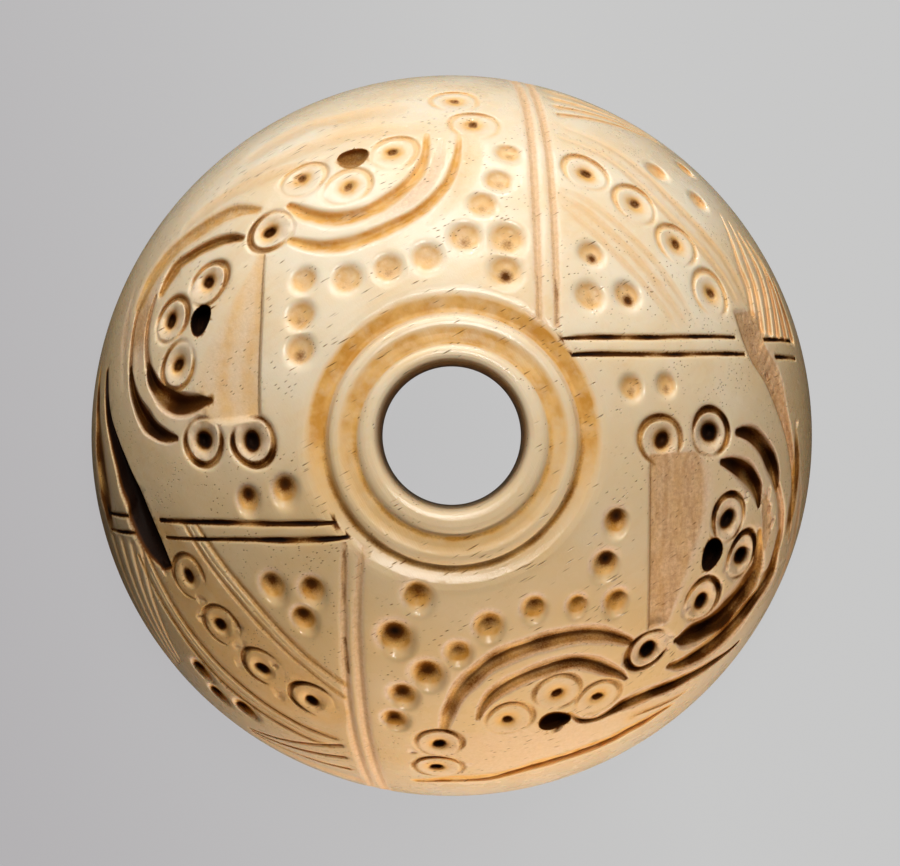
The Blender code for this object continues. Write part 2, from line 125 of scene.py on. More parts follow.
# Section of one mark: distance from its middle and depth, for the groove and for the disc inside
# it, mm; the drilled dot in the middle is added to it
RING_GROOVE = ((0.00, 0.00), (0.70, 0.00), (0.79, 0.05), (0.88, 0.20), (0.94, 0.30), (1.00, 0.30),
               (1.06, 0.18), (1.13, 0.05), (1.22, 0.01), (1.30, 0.00), (1.60, 0.00))
RING_DISC = ((0.00, 0.36), (0.16, 0.32), (0.32, 0.24), (0.48, 0.165), (0.64, 0.10), (0.80, 0.05),
             (0.94, 0.02), (1.02, 0.00), (1.60, 0.00))

# Strokes of the graver and gouge: cut shape (under 2 V-shaped, over 2 round), stain, dirt, floor
# roughness, how far the lips are rubbed, how much of the cut the dirt fills, and knots along the
# middle as (x, y, width at half depth seen from above, depth), mm. The dirt is a dark fill that in
# the deeper channels is painted shade as well as dirt.
HAIR = (1.7, 0.85, 1.00, 0.1, 0.0, 0.80)
BORDER = (1.8, 0.30, 0.10, 0.60, 0.25, 1.0)
DUSTY = (1.8, 0.45, 0.46, 0.50, 0.0, 0.9)
SOFT = (2.0, 0.75, 0.26, 0.30, 0.15, 1.0)
SCRATCH = (1.7, 0.60, 0.06, 0.3, 0.0, 1.0)
FAN = (1.8, 0.50, 0.06, 0.35, 0.0, 1.0)
BAND = (2.2, 0.42, 0.00, 0.2, 0.0, 1.0)
STAINED_BAND = (2.4, 0.62, 0.05, 0.25, 0.0, 1.0)
ROUGH_BAND = (2.4, 0.20, 0.12, 0.85, 0.0, 1.0)
RUBBED_BAND = (2.4, 0.15, 0.04, 0.50, 0.0, 1.0)
CHANNEL = (2.0, 0.95, 0.02, 0.08, 0.1, 1.0)
WEST_CHANNEL = (1.9, 0.85, 0.24, 0.25, 0.3, 1.0)
WARM_CHANNEL = (2.0, 1.00, 0.36, 0.10, 0.3, 1.0)
WORN_CHANNEL = (1.9, 0.90, 0.52, 0.30, 1.0, 1.0)
DEEP_CHANNEL = (2.1, 1.00, 0.60, 0.20, 0.8, 1.0)
PIT_CHANNEL = (2.5, 1.00, 0.82, 0.20, 0.8, 1.0)
STROKES = (
    (HAIR, ((4.15, 3.8, 0.08, 0.05), (4.6, 3.8, 0.12, 0.10), (5.2, 3.84, 0.16, 0.18),
        (8, 3.87, 0.16, 0.16), (11.3, 3.92, 0.12, 0.10))),
    (HAIR, ((4.6, 3.14, 0.08, 0.05), (5.2, 3.18, 0.16, 0.16), (8.5, 3.2, 0.16, 0.14),
        (11.7, 3.25, 0.14, 0.13))),
    (HAIR, ((12.62, 3.87, 0.14, 0.18), (13.85, 3.86, 0.13, 0.18))),
    (HAIR, ((13.12, 3.18, 0.14, 0.18), (14.05, 3.14, 0.13, 0.18))),
    (HAIR, ((-4.55, -3.40, 0.15, 0.17), (-4.9, -3.42, 0.16, 0.18), (-6.4, -3.46, 0.18, 0.18),
        (-9, -3.44, 0.18, 0.18), (-11.65, -3.38, 0.16, 0.18))),
    (HAIR, ((-4.05, -3.94, 0.14, 0.17), (-4.5, -4.02, 0.16, 0.18), (-6, -4.1, 0.21, 0.18),
        (-8.6, -4.1, 0.13, 0.16), (-11.4, -4.08, 0.14, 0.18))),
    (HAIR, ((-13.1, -3.25, 0.14, 0.18), (-14.05, -3.15, 0.13, 0.18))),
    (HAIR, ((-12.75, -3.94, 0.14, 0.18), (-13.95, -3.84, 0.13, 0.18))),
    (BORDER, ((3.41, 4.55, 0.20, 0.10), (3.36, 7.5, 0.24, 0.12), (3.25, 10.6, 0.26, 0.12),
        (2.80, 14.15, 0.28, 0.12), (2.4, 14.8, 0.28, 0.12))),
    (BORDER, ((4.10, 4.30, 0.18, 0.10), (4.06, 7.5, 0.22, 0.12), (3.92, 10.6, 0.24, 0.12),
        (3.42, 13.8, 0.26, 0.12), (3.05, 14.68, 0.26, 0.12))),
    (DUSTY, ((3.42, 4.45, 0.07, 0.05), (3.38, 5.3, 0.08, 0.09), (3.36, 6.3, 0.05, 0.05))),
    (DUSTY, ((4.08, 4.40, 0.08, 0.06), (4.10, 5.2, 0.11, 0.11), (4.08, 6.1, 0.06, 0.06))),
    (BORDER, ((-4.18, -4.25, 0.20, 0.10), (-4.24, -7.8, 0.24, 0.14), (-4.00, -11.7, 0.26, 0.15),
        (-3.48, -13.9, 0.28, 0.14), (-3.2, -14.65, 0.28, 0.14))),
    (BORDER, ((-3.48, -4.35, 0.20, 0.10), (-3.70, -7.2, 0.26, 0.14), (-3.55, -10.6, 0.28, 0.15),
        (-2.97, -13.9, 0.30, 0.14), (-2.6, -14.77, 0.30, 0.14))),
    (DUSTY, ((-4.18, -4.5, 0.12, 0.08), (-4.22, -5.4, 0.18, 0.18), (-4.22, -6.6, 0.12, 0.14))),
    (DUSTY, ((-4.22, -8.0, 0.12, 0.16), (-4.16, -8.8, 0.14, 0.2), (-4.1, -9.4, 0.10, 0.16))),
    (SCRATCH, ((4.35, 9.78, 0.12, 0.02), (5.5, 9.25, 0.18, 0.05), (7.25, 7.75, 0.20, 0.06),
        (8.15, 6.8, 0.20, 0.06), (9.05, 5.5, 0.18, 0.05), (9.7, 4.4, 0.12, 0.02))),
    (SCRATCH, ((4.3, 9.50, 0.14, 0.03), (5.25, 8.95, 0.22, 0.06), (7.05, 7.3, 0.24, 0.07),
        (8.6, 5.4, 0.22, 0.06), (9.35, 4.35, 0.14, 0.03))),
    (SCRATCH, ((4.25, 9.25, 0.12, 0.02), (4.9, 8.65, 0.18, 0.05), (6.7, 6.95, 0.20, 0.06),
        (8.45, 4.95, 0.18, 0.05), (8.9, 4.3, 0.12, 0.02))),
    (BAND, ((4.3, 9.5, 0.5, 0.02), (6.9, 7.35, 0.6, 0.035), (9.2, 4.6, 0.5, 0.02))),
    (SCRATCH, ((4.4, 11.95, 0.14, 0.03), (6.0, 11.3, 0.18, 0.05), (7.3, 10.3, 0.20, 0.06),
        (8.6, 8.95, 0.22, 0.07), (10.0, 7.5, 0.22, 0.08), (10.9, 6.4, 0.22, 0.07),
        (11.4, 5.5, 0.2, 0.05))),
    (SCRATCH, ((4.6, 12.4, 0.14, 0.03), (6.3, 11.65, 0.18, 0.05), (7.6, 10.7, 0.20, 0.06),
        (8.9, 9.4, 0.22, 0.07), (10.3, 7.95, 0.22, 0.08), (11.2, 6.75, 0.22, 0.07),
        (11.8, 5.5, 0.2, 0.05))),
    (BAND, ((4.5, 12.2, 0.5, 0.02), (7.45, 10.5, 0.5, 0.035), (10.15, 7.7, 0.5, 0.04),
        (11.6, 5.5, 0.5, 0.03))),
    (SOFT, ((-10.6, -3.6, 0.14, 0.09), (-9.8, -4.9, 0.16, 0.13), (-8.4, -6.65, 0.18, 0.15),
        (-6.1, -9.0, 0.18, 0.15), (-4.3, -10.4, 0.15, 0.09))),
    (SCRATCH, ((-10.38, -3.6, 0.06, 0.04), (-9.55, -4.9, 0.08, 0.06), (-8.1, -6.65, 0.08, 0.06),
        (-5.95, -8.9, 0.08, 0.06), (-4.3, -10.2, 0.06, 0.04))),
    (SOFT, ((-10.1, -3.6, 0.14, 0.09), (-9.2, -4.9, 0.18, 0.13), (-7.75, -6.65, 0.20, 0.16),
        (-5.75, -8.75, 0.22, 0.16), (-4.2, -9.9, 0.17, 0.09))),
    (SOFT, ((-12.3, -4.7, 0.13, 0.10), (-10.9, -7.35, 0.16, 0.16), (-9.0, -9.6, 0.17, 0.16),
        (-6.4, -11.5, 0.17, 0.15), (-4.7, -12.2, 0.15, 0.09))),
    (SOFT, ((-12.65, -4.9, 0.11, 0.10), (-11.2, -7.6, 0.13, 0.15), (-9.3, -9.95, 0.14, 0.15),
        (-6.7, -11.8, 0.15, 0.14), (-5.0, -12.55, 0.14, 0.09))),
    (SCRATCH, ((-12.45, -4.8, 0.05, 0.03), (-11.05, -7.45, 0.06, 0.05), (-9.15, -9.8, 0.06, 0.05),
        (-6.55, -11.65, 0.06, 0.05), (-4.85, -12.4, 0.05, 0.03))),
    (STAINED_BAND, ((-11.5, -4.2, 1.0, 0.10), (-10.5, -5.9, 1.7, 0.10), (-8.6, -8.4, 1.8, 0.10),
        (-6.3, -10.2, 1.7, 0.10), (-5.0, -11.0, 1.0, 0.10))),
    # the fan of grooves at the north-east rim, thin ridges left standing between them
    (FAN, ((10.95, 9.0, 0.06, 0.05), (11.6, 7.0, 0.16, 0.16), (11.95, 6.0, 0.20, 0.20),
        (12.1, 4.9, 0.22, 0.20))),
    (FAN, ((11.3, 8.75, 0.06, 0.05), (11.98, 7.0, 0.16, 0.18), (12.28, 6.0, 0.20, 0.24),
        (12.5, 4.3, 0.22, 0.26))),
    (FAN, ((11.7, 8.3, 0.08, 0.08), (12.38, 7.0, 0.16, 0.20), (12.68, 6.0, 0.19, 0.26),
        (12.86, 4.2, 0.22, 0.30))),
    (FAN, ((12.1, 7.95, 0.08, 0.10), (12.75, 6.9, 0.15, 0.22), (13.0, 6.0, 0.17, 0.28),
        (13.24, 4.1, 0.20, 0.34))),
    (FAN, ((12.6, 7.3, 0.08, 0.12), (13.1, 6.2, 0.13, 0.26), (13.38, 5.2, 0.16, 0.32),
        (13.6, 4.05, 0.18, 0.36))),
    (FAN, ((13.2, 6.4, 0.07, 0.16), (13.6, 5.2, 0.12, 0.32), (13.92, 4.0, 0.14, 0.40))),
    # the comma over the north: two gouged channels, a rough band between them and a worn one
    (CHANNEL, ((-6.45, 9.14, 0.23, 0.18), (-6, 8.88, 0.38, 0.30), (-5.4, 8.68, 0.43, 0.34),
        (-4.6, 8.56, 0.43, 0.34), (-3.8, 8.68, 0.41, 0.33), (-3, 9, 0.40, 0.32),
        (-2.3, 9.45, 0.40, 0.32), (-1.75, 9.93, 0.38, 0.30), (-1.32, 10.45, 0.34, 0.26),
        (-1.12, 10.95, 0.29, 0.20), (-1.02, 11.5, 0.23, 0.12), (-1, 12.05, 0.18, 0.05))),
    (CHANNEL, ((-6.4, 7.72, 0.25, 0.12), (-5.6, 7.5, 0.36, 0.24), (-4.8, 7.45, 0.40, 0.28),
        (-4, 7.57, 0.40, 0.30), (-3.2, 7.85, 0.40, 0.30), (-2.5, 8.15, 0.38, 0.30),
        (-1.8, 8.5, 0.36, 0.30), (-1.2, 8.88, 0.34, 0.28), (-0.6, 9.45, 0.32, 0.24),
        (-0.15, 10.05, 0.32, 0.22), (0.12, 10.7, 0.27, 0.16), (0.26, 11.4, 0.23, 0.10),
        (0.28, 12, 0.18, 0.05))),
    (RUBBED_BAND, ((-3.2, 8.34, 0.2, 0.03), (-2.0, 9.05, 0.36, 0.08), (-1.2, 9.72, 0.44, 0.09),
        (-0.72, 10.4, 0.42, 0.09), (-0.46, 11.1, 0.34, 0.08), (-0.4, 11.8, 0.2, 0.04))),
    (BAND, ((-0.9, 8.35, 0.2, 0.03), (0.15, 9.4, 0.5, 0.07), (0.62, 10.3, 0.62, 0.09),
        (0.82, 11.2, 0.62, 0.09), (0.8, 12.0, 0.5, 0.05))),
    (BAND, ((-1.35, 12.3, 0.4, 0.04), (-4.1, 12.1, 0.4, 0.06), (-7.0, 11.1, 0.4, 0.07),
        (-9.2, 9.9, 0.3, 0.04))),
    (BAND, ((-5.2, 10.95, 0.3, 0.05), (-7.2, 10.5, 0.4, 0.08), (-9.4, 9.5, 0.4, 0.08),
        (-10.7, 8.5, 0.3, 0.06))),
    (BAND, ((-2.3, 13.2, 0.4, 0.05), (-4.2, 12.9, 0.4, 0.07), (-6.0, 12.5, 0.4, 0.08),
        (-8.0, 11.4, 0.3, 0.06))),
    # the comma over the west
    (WEST_CHANNEL, ((-7.75, 9.0, 0.26, 0.10), (-8.4, 9.02, 0.40, 0.18), (-9.1, 8.85, 0.48, 0.22),
        (-10.0, 8.36, 0.50, 0.24), (-11.0, 7.70, 0.46, 0.24), (-11.75, 6.93, 0.40, 0.22),
        (-12.25, 6.2, 0.34, 0.20), (-12.6, 5.4, 0.26, 0.14))),
    (DUSTY, ((-12.5, 5.5, 0.12, 0.10), (-12.75, 4.9, 0.12, 0.16), (-12.88, 4.2, 0.12, 0.18),
        (-12.95, 3.4, 0.12, 0.20), (-12.96, 2.6, 0.14, 0.30))),
    (PIT_CHANNEL, ((-12.96, 2.7, 0.12, 0.26), (-12.90, 2.1, 0.20, 0.44), (-12.74, 1.5, 0.32, 0.62),
        (-12.48, 0.96, 0.44, 0.80), (-12.13, 0.46, 0.50, 0.85), (-11.72, 0.12, 0.44, 0.70),
        (-11.3, -0.06, 0.34, 0.42), (-10.95, -0.12, 0.2, 0.14))),
    (WARM_CHANNEL, ((-8.38, 7.85, 0.20, 0.26), (-8.7, 7.86, 0.30, 0.40), (-9.2, 7.78, 0.34, 0.42),
        (-10.0, 7.48, 0.34, 0.38), (-10.5, 7.20, 0.36, 0.36), (-11.0, 6.86, 0.34, 0.32),
        (-11.4, 6.3, 0.28, 0.28), (-11.65, 5.8, 0.20, 0.18))),
    (DEEP_CHANNEL, ((-8.55, 7.84, 0.08, 0.26), (-8.95, 7.80, 0.16, 0.46), (-9.4, 7.70, 0.10, 0.36))),
    (ROUGH_BAND, ((-12.0, 6.2, 0.3, 0.04), (-12.42, 5.3, 0.60, 0.07), (-12.58, 4.4, 0.72, 0.08),
        (-12.64, 3.6, 0.66, 0.07), (-12.62, 2.9, 0.5, 0.04))),
    (ROUGH_BAND, ((-12.9, 6.1, 0.1, 0.02), (-13.15, 5.0, 0.3, 0.06), (-13.3, 3.6, 0.3, 0.06),
        (-13.25, 2.0, 0.2, 0.02))),
    (DUSTY, ((-11.95, 5.6, 0.10, 0.10), (-12.15, 4.9, 0.14, 0.20), (-12.27, 4.2, 0.15, 0.22),
        (-12.27, 3.4, 0.16, 0.28), (-12.18, 2.8, 0.22, 0.38))),
    (PIT_CHANNEL, ((-12.18, 2.85, 0.16, 0.32), (-12.03, 2.3, 0.34, 0.60), (-11.8, 1.9, 0.46, 0.80),
        (-11.48, 1.58, 0.58, 0.95), (-11.1, 1.34, 0.66, 1.00), (-10.7, 1.22, 0.66, 0.95),
        (-10.3, 1.24, 0.54, 0.70), (-9.9, 1.32, 0.40, 0.42), (-9.5, 1.38, 0.2, 0.16))),
    # the comma over the south
    (WORN_CHANNEL, ((7.2, -8.26, 0.20, 0.20), (6.85, -8.10, 0.32, 0.34), (6, -7.88, 0.42, 0.46),
        (5.2, -7.85, 0.45, 0.50), (4.2, -8.0, 0.44, 0.50), (3.2, -8.26, 0.44, 0.48),
        (2.2, -8.62, 0.45, 0.48), (1.4, -9.06, 0.46, 0.46), (0.7, -9.66, 0.46, 0.44),
        (0.2, -10.3, 0.42, 0.38), (-0.12, -11, 0.36, 0.28), (-0.3, -11.7, 0.26, 0.12))),
    (WORN_CHANNEL, ((6.95, -9.72, 0.14, 0.16), (6.65, -9.50, 0.30, 0.38), (6.2, -9.30, 0.38, 0.50),
        (5.6, -9.06, 0.40, 0.58), (4.9, -8.96, 0.40, 0.55), (4.2, -9.08, 0.38, 0.48),
        (3.4, -9.34, 0.38, 0.44), (2.7, -9.62, 0.36, 0.42), (2, -10.0, 0.36, 0.40),
        (1.5, -10.42, 0.33, 0.34), (1.2, -10.85, 0.24, 0.22), (1.05, -11.3, 0.13, 0.08))),
    (DEEP_CHANNEL, ((4.7, -11.1, 0.16, 0.16), (5.2, -11.43, 0.22, 0.28), (5.8, -11.4, 0.16, 0.24),
        (6.4, -11.12, 0.20, 0.28), (7.0, -10.78, 0.34, 0.42), (8.0, -10.4, 0.44, 0.50),
        (9.0, -10.05, 0.42, 0.48), (10.0, -9.6, 0.34, 0.42), (10.8, -9.15, 0.26, 0.34),
        (11.4, -8.75, 0.16, 0.22), (11.8, -8.4, 0.08, 0.06))),
    (SOFT, ((7.0, -11.45, 0.14, 0.04), (8.0, -11.1, 0.20, 0.12), (9.0, -10.72, 0.16, 0.10),
        (9.7, -10.3, 0.1, 0.04))),
    (CHANNEL, ((-1.4, -14.06, 0.16, 0.10), (0.0, -13.98, 0.24, 0.20), (1.5, -13.90, 0.24, 0.24),
        (2.5, -13.65, 0.25, 0.27), (3.5, -13.34, 0.28, 0.30), (4.5, -13.06, 0.26, 0.30),
        (5.5, -12.72, 0.28, 0.32), (6.5, -12.33, 0.27, 0.32), (7.1, -12.0, 0.25, 0.30),
        (7.8, -11.65, 0.24, 0.28), (8.4, -11.3, 0.18, 0.18), (9.0, -10.95, 0.1, 0.05))),
    (RUBBED_BAND, ((-0.8, -12.7, 0.8, 0.03), (2.0, -12.75, 1.5, 0.05), (5.0, -12.2, 1.3, 0.05),
        (7.6, -11.2, 0.9, 0.04), (9.4, -10.2, 0.5, 0.03))),
    # the comma over the east
    (PIT_CHANNEL, ((11.4, 0.12, 0.26, 0.34), (11.66, 0.12, 0.38, 0.56), (12.0, 0.02, 0.46, 0.80),
        (12.34, -0.24, 0.50, 0.95), (12.62, -0.6, 0.52, 1.00), (12.86, -1.05, 0.50, 0.95),
        (13.04, -1.55, 0.38, 0.75), (13.12, -2.05, 0.22, 0.50))),
    (ROUGH_BAND, ((13.08, -1.8, 0.2, 0.34), (13.24, -2.4, 0.32, 0.28), (13.36, -3.0, 0.36, 0.26),
        (13.38, -3.8, 0.30, 0.26), (13.28, -4.5, 0.26, 0.30))),
    (DEEP_CHANNEL, ((13.32, -4, 0.18, 0.20), (13.2, -4.7, 0.26, 0.34), (13, -5.5, 0.34, 0.44),
        (12.65, -6.2, 0.39, 0.54), (12.2, -6.8, 0.47, 0.58), (11.6, -7.5, 0.55, 0.60),
        (11, -8.1, 0.60, 0.62), (10.3, -8.62, 0.60, 0.60), (9.7, -8.96, 0.52, 0.52),
        (9.2, -9.18, 0.39, 0.36), (8.75, -9.25, 0.21, 0.14))),
    (PIT_CHANNEL, ((10.75, -1.06, 0.22, 0.34), (11.0, -1.1, 0.38, 0.60), (11.3, -1.2, 0.50, 0.85),
        (11.65, -1.4, 0.58, 1.05), (11.96, -1.68, 0.58, 1.10), (12.2, -2.05, 0.46, 1.00),
        (12.31, -2.45, 0.26, 0.70), (12.34, -2.8, 0.12, 0.30))),
    (ROUGH_BAND, ((12.45, -2.3, 0.3, 0.05), (12.68, -3.0, 0.44, 0.12), (12.72, -3.7, 0.40, 0.12),
        (12.6, -4.4, 0.30, 0.10))),
    (DEEP_CHANNEL, ((12.4, -3.9, 0.20, 0.16), (12.4, -4.6, 0.33, 0.32), (12.34, -5.2, 0.43, 0.46),
        (12.1, -5.85, 0.53, 0.60), (11.75, -6.4, 0.62, 0.72), (11.35, -6.88, 0.70, 0.80))),
    (PIT_CHANNEL, ((11.55, -6.65, 0.58, 0.66), (11, -7.25, 0.75, 0.85), (10.5, -7.6, 0.78, 0.95),
        (10.05, -7.82, 0.78, 0.95), (9.55, -8, 0.70, 0.85), (9.2, -8.12, 0.45, 0.50),
        (9, -8.18, 0.20, 0.20))),
    # along the rim, on the west and on the east
    (DEEP_CHANNEL, ((-14.42, 2.9, 0.10, 0.06), (-14.52, 1.2, 0.20, 0.18), (-14.48, 0.0, 0.28, 0.30),
        (-14.38, -1.2, 0.34, 0.34), (-14.22, -2.4, 0.34, 0.32), (-14.02, -3.4, 0.22, 0.12))),
    (DEEP_CHANNEL, ((13.98, 0.3, 0.10, 0.04), (14.06, -0.8, 0.20, 0.10), (14.00, -1.9, 0.26, 0.14),
        (13.90, -2.9, 0.24, 0.12), (13.70, -3.9, 0.12, 0.05))),
    (ROUGH_BAND, ((14.2, -1.2, 0.10, 0.03), (14.28, -2.4, 0.26, 0.07), (14.15, -3.8, 0.32, 0.08),
        (13.85, -5.2, 0.34, 0.08), (13.4, -6.5, 0.24, 0.04))),
)

# Fans of graved ridges at the rim: first start, last start, first end, last end, count
RIM_FANS = (
    ((-12.5, -4.6), (-14.3, -4.1), (-11.1, -9.2), (-11.45, -9.6), 5),
    ((4.4, 13.0), (4.2, 14.1), (8.6, 12.0), (8.2, 12.4), 4),
    ((-4.5, -12.5), (-4.1, -14.1), (-8.3, -12.0), (-8.0, -12.4), 4),
)
FAN_WIDTH = 0.20
FAN_DEPTH = 0.16
FAN_RUN_OUT = 0.5

# Sunk wedges: the side the floor lies on going along the wall, how rough the floor is and how dark
# its fill of dirt and painted shade is, then knots along the wall as (x, y, floor width seen from
# above, depth at the wall), mm
SCOOPS = (
    (-1, 0.30, 0.0, ((-7.33, 7.2, 0.5, 0.05), (-7.38, 6.4, 0.95, 0.12), (-7.41, 5.5, 1.6, 0.20),
        (-7.44, 4.4, 2.3, 0.28), (-7.48, 3.2, 2.9, 0.34), (-7.50, 1.9, 3.3, 0.38),
        (-7.48, 0.9, 3.2, 0.36))),
    (1, 0.9, 0.0, ((7.73, -0.9, 2.8, 0.20), (7.73, -1.8, 3.1, 0.34), (7.74, -3.4, 3.1, 0.42),
        (7.75, -4.6, 2.75, 0.46), (7.76, -5.6, 2.3, 0.46), (7.76, -6.6, 1.8, 0.44),
        (7.76, -7.6, 1.25, 0.34))),
    (-1, 0.1, 1.0, ((-14.0, 2.6, 0.30, 0.12), (-13.95, 1.5, 0.42, 0.30), (-13.8, 0.7, 0.62, 0.48),
        (-13.55, 0.0, 0.85, 0.60), (-13.2, -0.8, 1.10, 0.72), (-12.88, -1.5, 1.35, 0.82),
        (-12.5, -2.2, 1.50, 0.88), (-12.15, -3.0, 1.50, 0.88), (-11.8, -3.8, 1.40, 0.80),
        (-11.5, -4.5, 1.15, 0.66), (-11.25, -5.1, 0.70, 0.36))),
    (-1, 1.0, 0.20, ((13.75, -4.2, 0.25, 0.08), (13.82, -3.2, 0.35, 0.20), (13.82, -2.2, 0.42, 0.28),
        (13.76, -1.3, 0.45, 0.34), (13.62, -0.5, 0.52, 0.38), (13.42, 0.2, 0.70, 0.42),
        (13.12, 0.95, 1.00, 0.42), (12.62, 2.05, 1.35, 0.44), (12.05, 2.9, 1.5, 0.42),
        (11.65, 3.8, 1.4, 0.36), (11.35, 4.7, 1.3, 0.16))),
)


def over_plan(x, y):
    """The point of the dome above a plan position: z is the root of R^2 - x^2 - y^2."""
    return np.array((x, y, math.sqrt(max(DOME_RADIUS ** 2 - x * x - y * y, 0.0))))


def waves(points, wavelength, seed, count=7):
    """Smooth pattern near -1..1: the mean of plane sine waves of about one wavelength (mm), times
    1.6 to bring its peaks near 1."""
    rng = np.random.default_rng(seed)
    directions = rng.normal(size=(count, 3))
    directions *= 2.0 * math.pi / wavelength / np.linalg.norm(directions, axis=1)[:, None]
    phases = rng.uniform(0.0, 2.0 * math.pi, count)
    total = np.zeros(len(points))
    for direction, phase in zip(directions, phases):
        total += np.sin(points @ direction + phase)
    return total * (1.6 / count)


def ease(value):
    """Smooth step, 3 v^2 - 2 v^3, from 0 to 1."""
    value = np.clip(value, 0.0, 1.0)
    return value * value * (3.0 - 2.0 * value)


def hump(value, middle, width):
    """Bell curve, e ^ -((value - middle) / width)^2."""
    return np.exp(-((value - middle) / width) ** 2)


def follow(knots, spacing=0.12, least_width=0.05):
    """Catmull-Rom curve through (x, y, width, depth) knots, as even samples on the dome: centres,
    directions along, directions across, widths and depths. A width seen from above is divided by
    how far the direction across is foreshortened there."""
    rows = np.array([(*over_plan(x, y), width, depth) for x, y, width, depth in knots])
    rows = np.vstack((2.0 * rows[0] - rows[1], rows, 2.0 * rows[-1] - rows[-2]))
    pieces = []
    for index in range(1, len(rows) - 2):
        before, start, end, after = rows[index - 1:index + 3]
        steps = max(2, int(np.linalg.norm(end[:3] - start[:3]) / spacing))
        t = np.arange(steps)[:, None] / steps
        pieces.append(0.5 * (
            2.0 * start + (end - before) * t
            + (2.0 * before - 5.0 * start + 4.0 * end - after) * t ** 2
            + (3.0 * start - before - 3.0 * end + after) * t ** 3))
    line = np.vstack(pieces + [rows[-2:-1]])
    centres = line[:, :3] * (DOME_RADIUS / np.linalg.norm(line[:, :3], axis=1))[:, None]
    along = np.gradient(centres, axis=0)
    along /= np.linalg.norm(along, axis=1)[:, None]
    across = np.cross(centres / DOME_RADIUS, along)
    widths = np.maximum(line[:, 3], least_width) / np.hypot(across[:, 0], across[:, 1])
    return centres, along, across, widths, np.maximum(line[:, 4], 0.0)


def nearest_on(points, line, reach, batch=20000):
    """For the points within reach of the line: their indices, signed distance across it, how far
    they lie past its ends, distance along it, and its width and depth there."""
    centres, along, across, widths, depths = line
    middle = centres.mean(axis=0)
    span = np.linalg.norm(centres - middle, axis=1).max() + reach
    near = np.flatnonzero(((points - middle) ** 2).sum(axis=1) < span * span)
    best = np.empty(len(near), dtype=int)
    for first in range(0, len(near), batch):
        part = near[first:first + batch]
        best[first:first + batch] = np.argmax(points[part] @ centres.T, axis=1)
    offset = points[near] - centres[best]
    side = (offset * across[best]).sum(axis=1)
    ahead = (offset * along[best]).sum(axis=1)
    past = np.where(best == 0, np.maximum(-ahead, 0.0), 0.0)
    past = np.where(best == len(centres) - 1, np.maximum(ahead, 0.0), past)
    close = np.hypot(side, past) < reach
    near, best, side, ahead, past = near[close], best[close], side[close], ahead[close], past[close]
    step = np.linalg.norm(np.gradient(centres, axis=0), axis=1)
    place = np.clip(best + ahead / step[best], 0.0, len(centres) - 1.0)
    steps = np.arange(len(centres))
    travel = np.cumsum(step)[best] + ahead
    return near, side, past, travel, np.interp(place, steps, widths), np.interp(place, steps, depths)


def read_profile(table, distances, blur=0.07, step=0.01):
    """The depths of a (distance, depth) table at some distances, its corners rounded off by a
    running average over the blur distance."""
    table = np.array(table)
    places = np.arange(table[0, 0], table[-1, 0], step)
    kernel = np.hanning(int(blur / step) + 3)
    padded = np.pad(np.interp(places, table[:, 0], table[:, 1]), len(kernel) // 2, mode="edge")
    rounded = np.convolve(padded, kernel / kernel.sum(), mode="valid")[:len(places)]
    return np.interp(distances, places, rounded)


def collar_ring(distance, ring):
    """Share of a stained ring, given as its (inner, outer) distance: a crisp start, a soft end."""
    return ease((distance - ring[0]) / 0.08) * ease((ring[1] - distance) / 0.30)


# The collar's stained parts, by distance from its axis, mm: inner and outer edge of the band and the
# cove, middle and width of the rest. Then how much stain is in the cove, flank, band, groove, step
# and mouth, and how much dirt in the last three. In the groove, the step and the mouth these are
# painted shade as well as stain and dirt.
COLLAR_REACH = 6.8
COLLAR_CENTRING = 0.7
COLLAR_MOUTH = 2.96
COLLAR_BAND = (3.70, 4.62)
COLLAR_COVE = (4.94, 5.86)
COLLAR_GROOVE = (3.84, 0.11)
COLLAR_STEP = (5.04, 0.15)
COLLAR_FLANK = (5.45, 0.40)
COLLAR_STAIN_AND_SHADE = (0.95, 0.30, 0.88, 0.8, 0.95, 0.6)
COLLAR_DIRT_AND_SHADE = (0.34, 0.52, 0.25)

# The bits. A pit, in shares of its radius: where it is half as deep, how steep its wall is, how far
# its stain reaches, and the middle and width of its rough lip. How steep a deep hole's wall is. A
# ring mark, mm: how far off centre its dot is drilled, the dot's least radius, how steep the dot's
# wall is, and how far the mark reaches.
PIT_HALF_DEPTH = 0.86
PIT_STEEPNESS = 3.4
PIT_STAIN = 1.10
PIT_LIP = (1.15, 0.16)
HOLE_STEEPNESS = 4.0
DOT_OFF_CENTRE = 0.08
DOT_RADIUS = 0.17
DOT_STEEPNESS = 2.8
RING_REACH = 1.5

# The graver: the share of a stroke's depth at which it is cut off, the middle and width of its
# rubbed lip in shares of its half width, and how much the rubbing took off, mm. The flat tool, mm:
# how soft a wedge's wall and ends are, and the middle and width of the dark seam at the wall's
# foot, which is painted shade and dirt.
STROKE_TRIM = 0.03
STROKE_LIP = (1.55, 0.45)
STROKE_LIP_WEAR = 0.015
WEDGE_WALL = 0.20
WEDGE_END = 0.45
WEDGE_SHADE_SEAM = (0.06, 0.09)


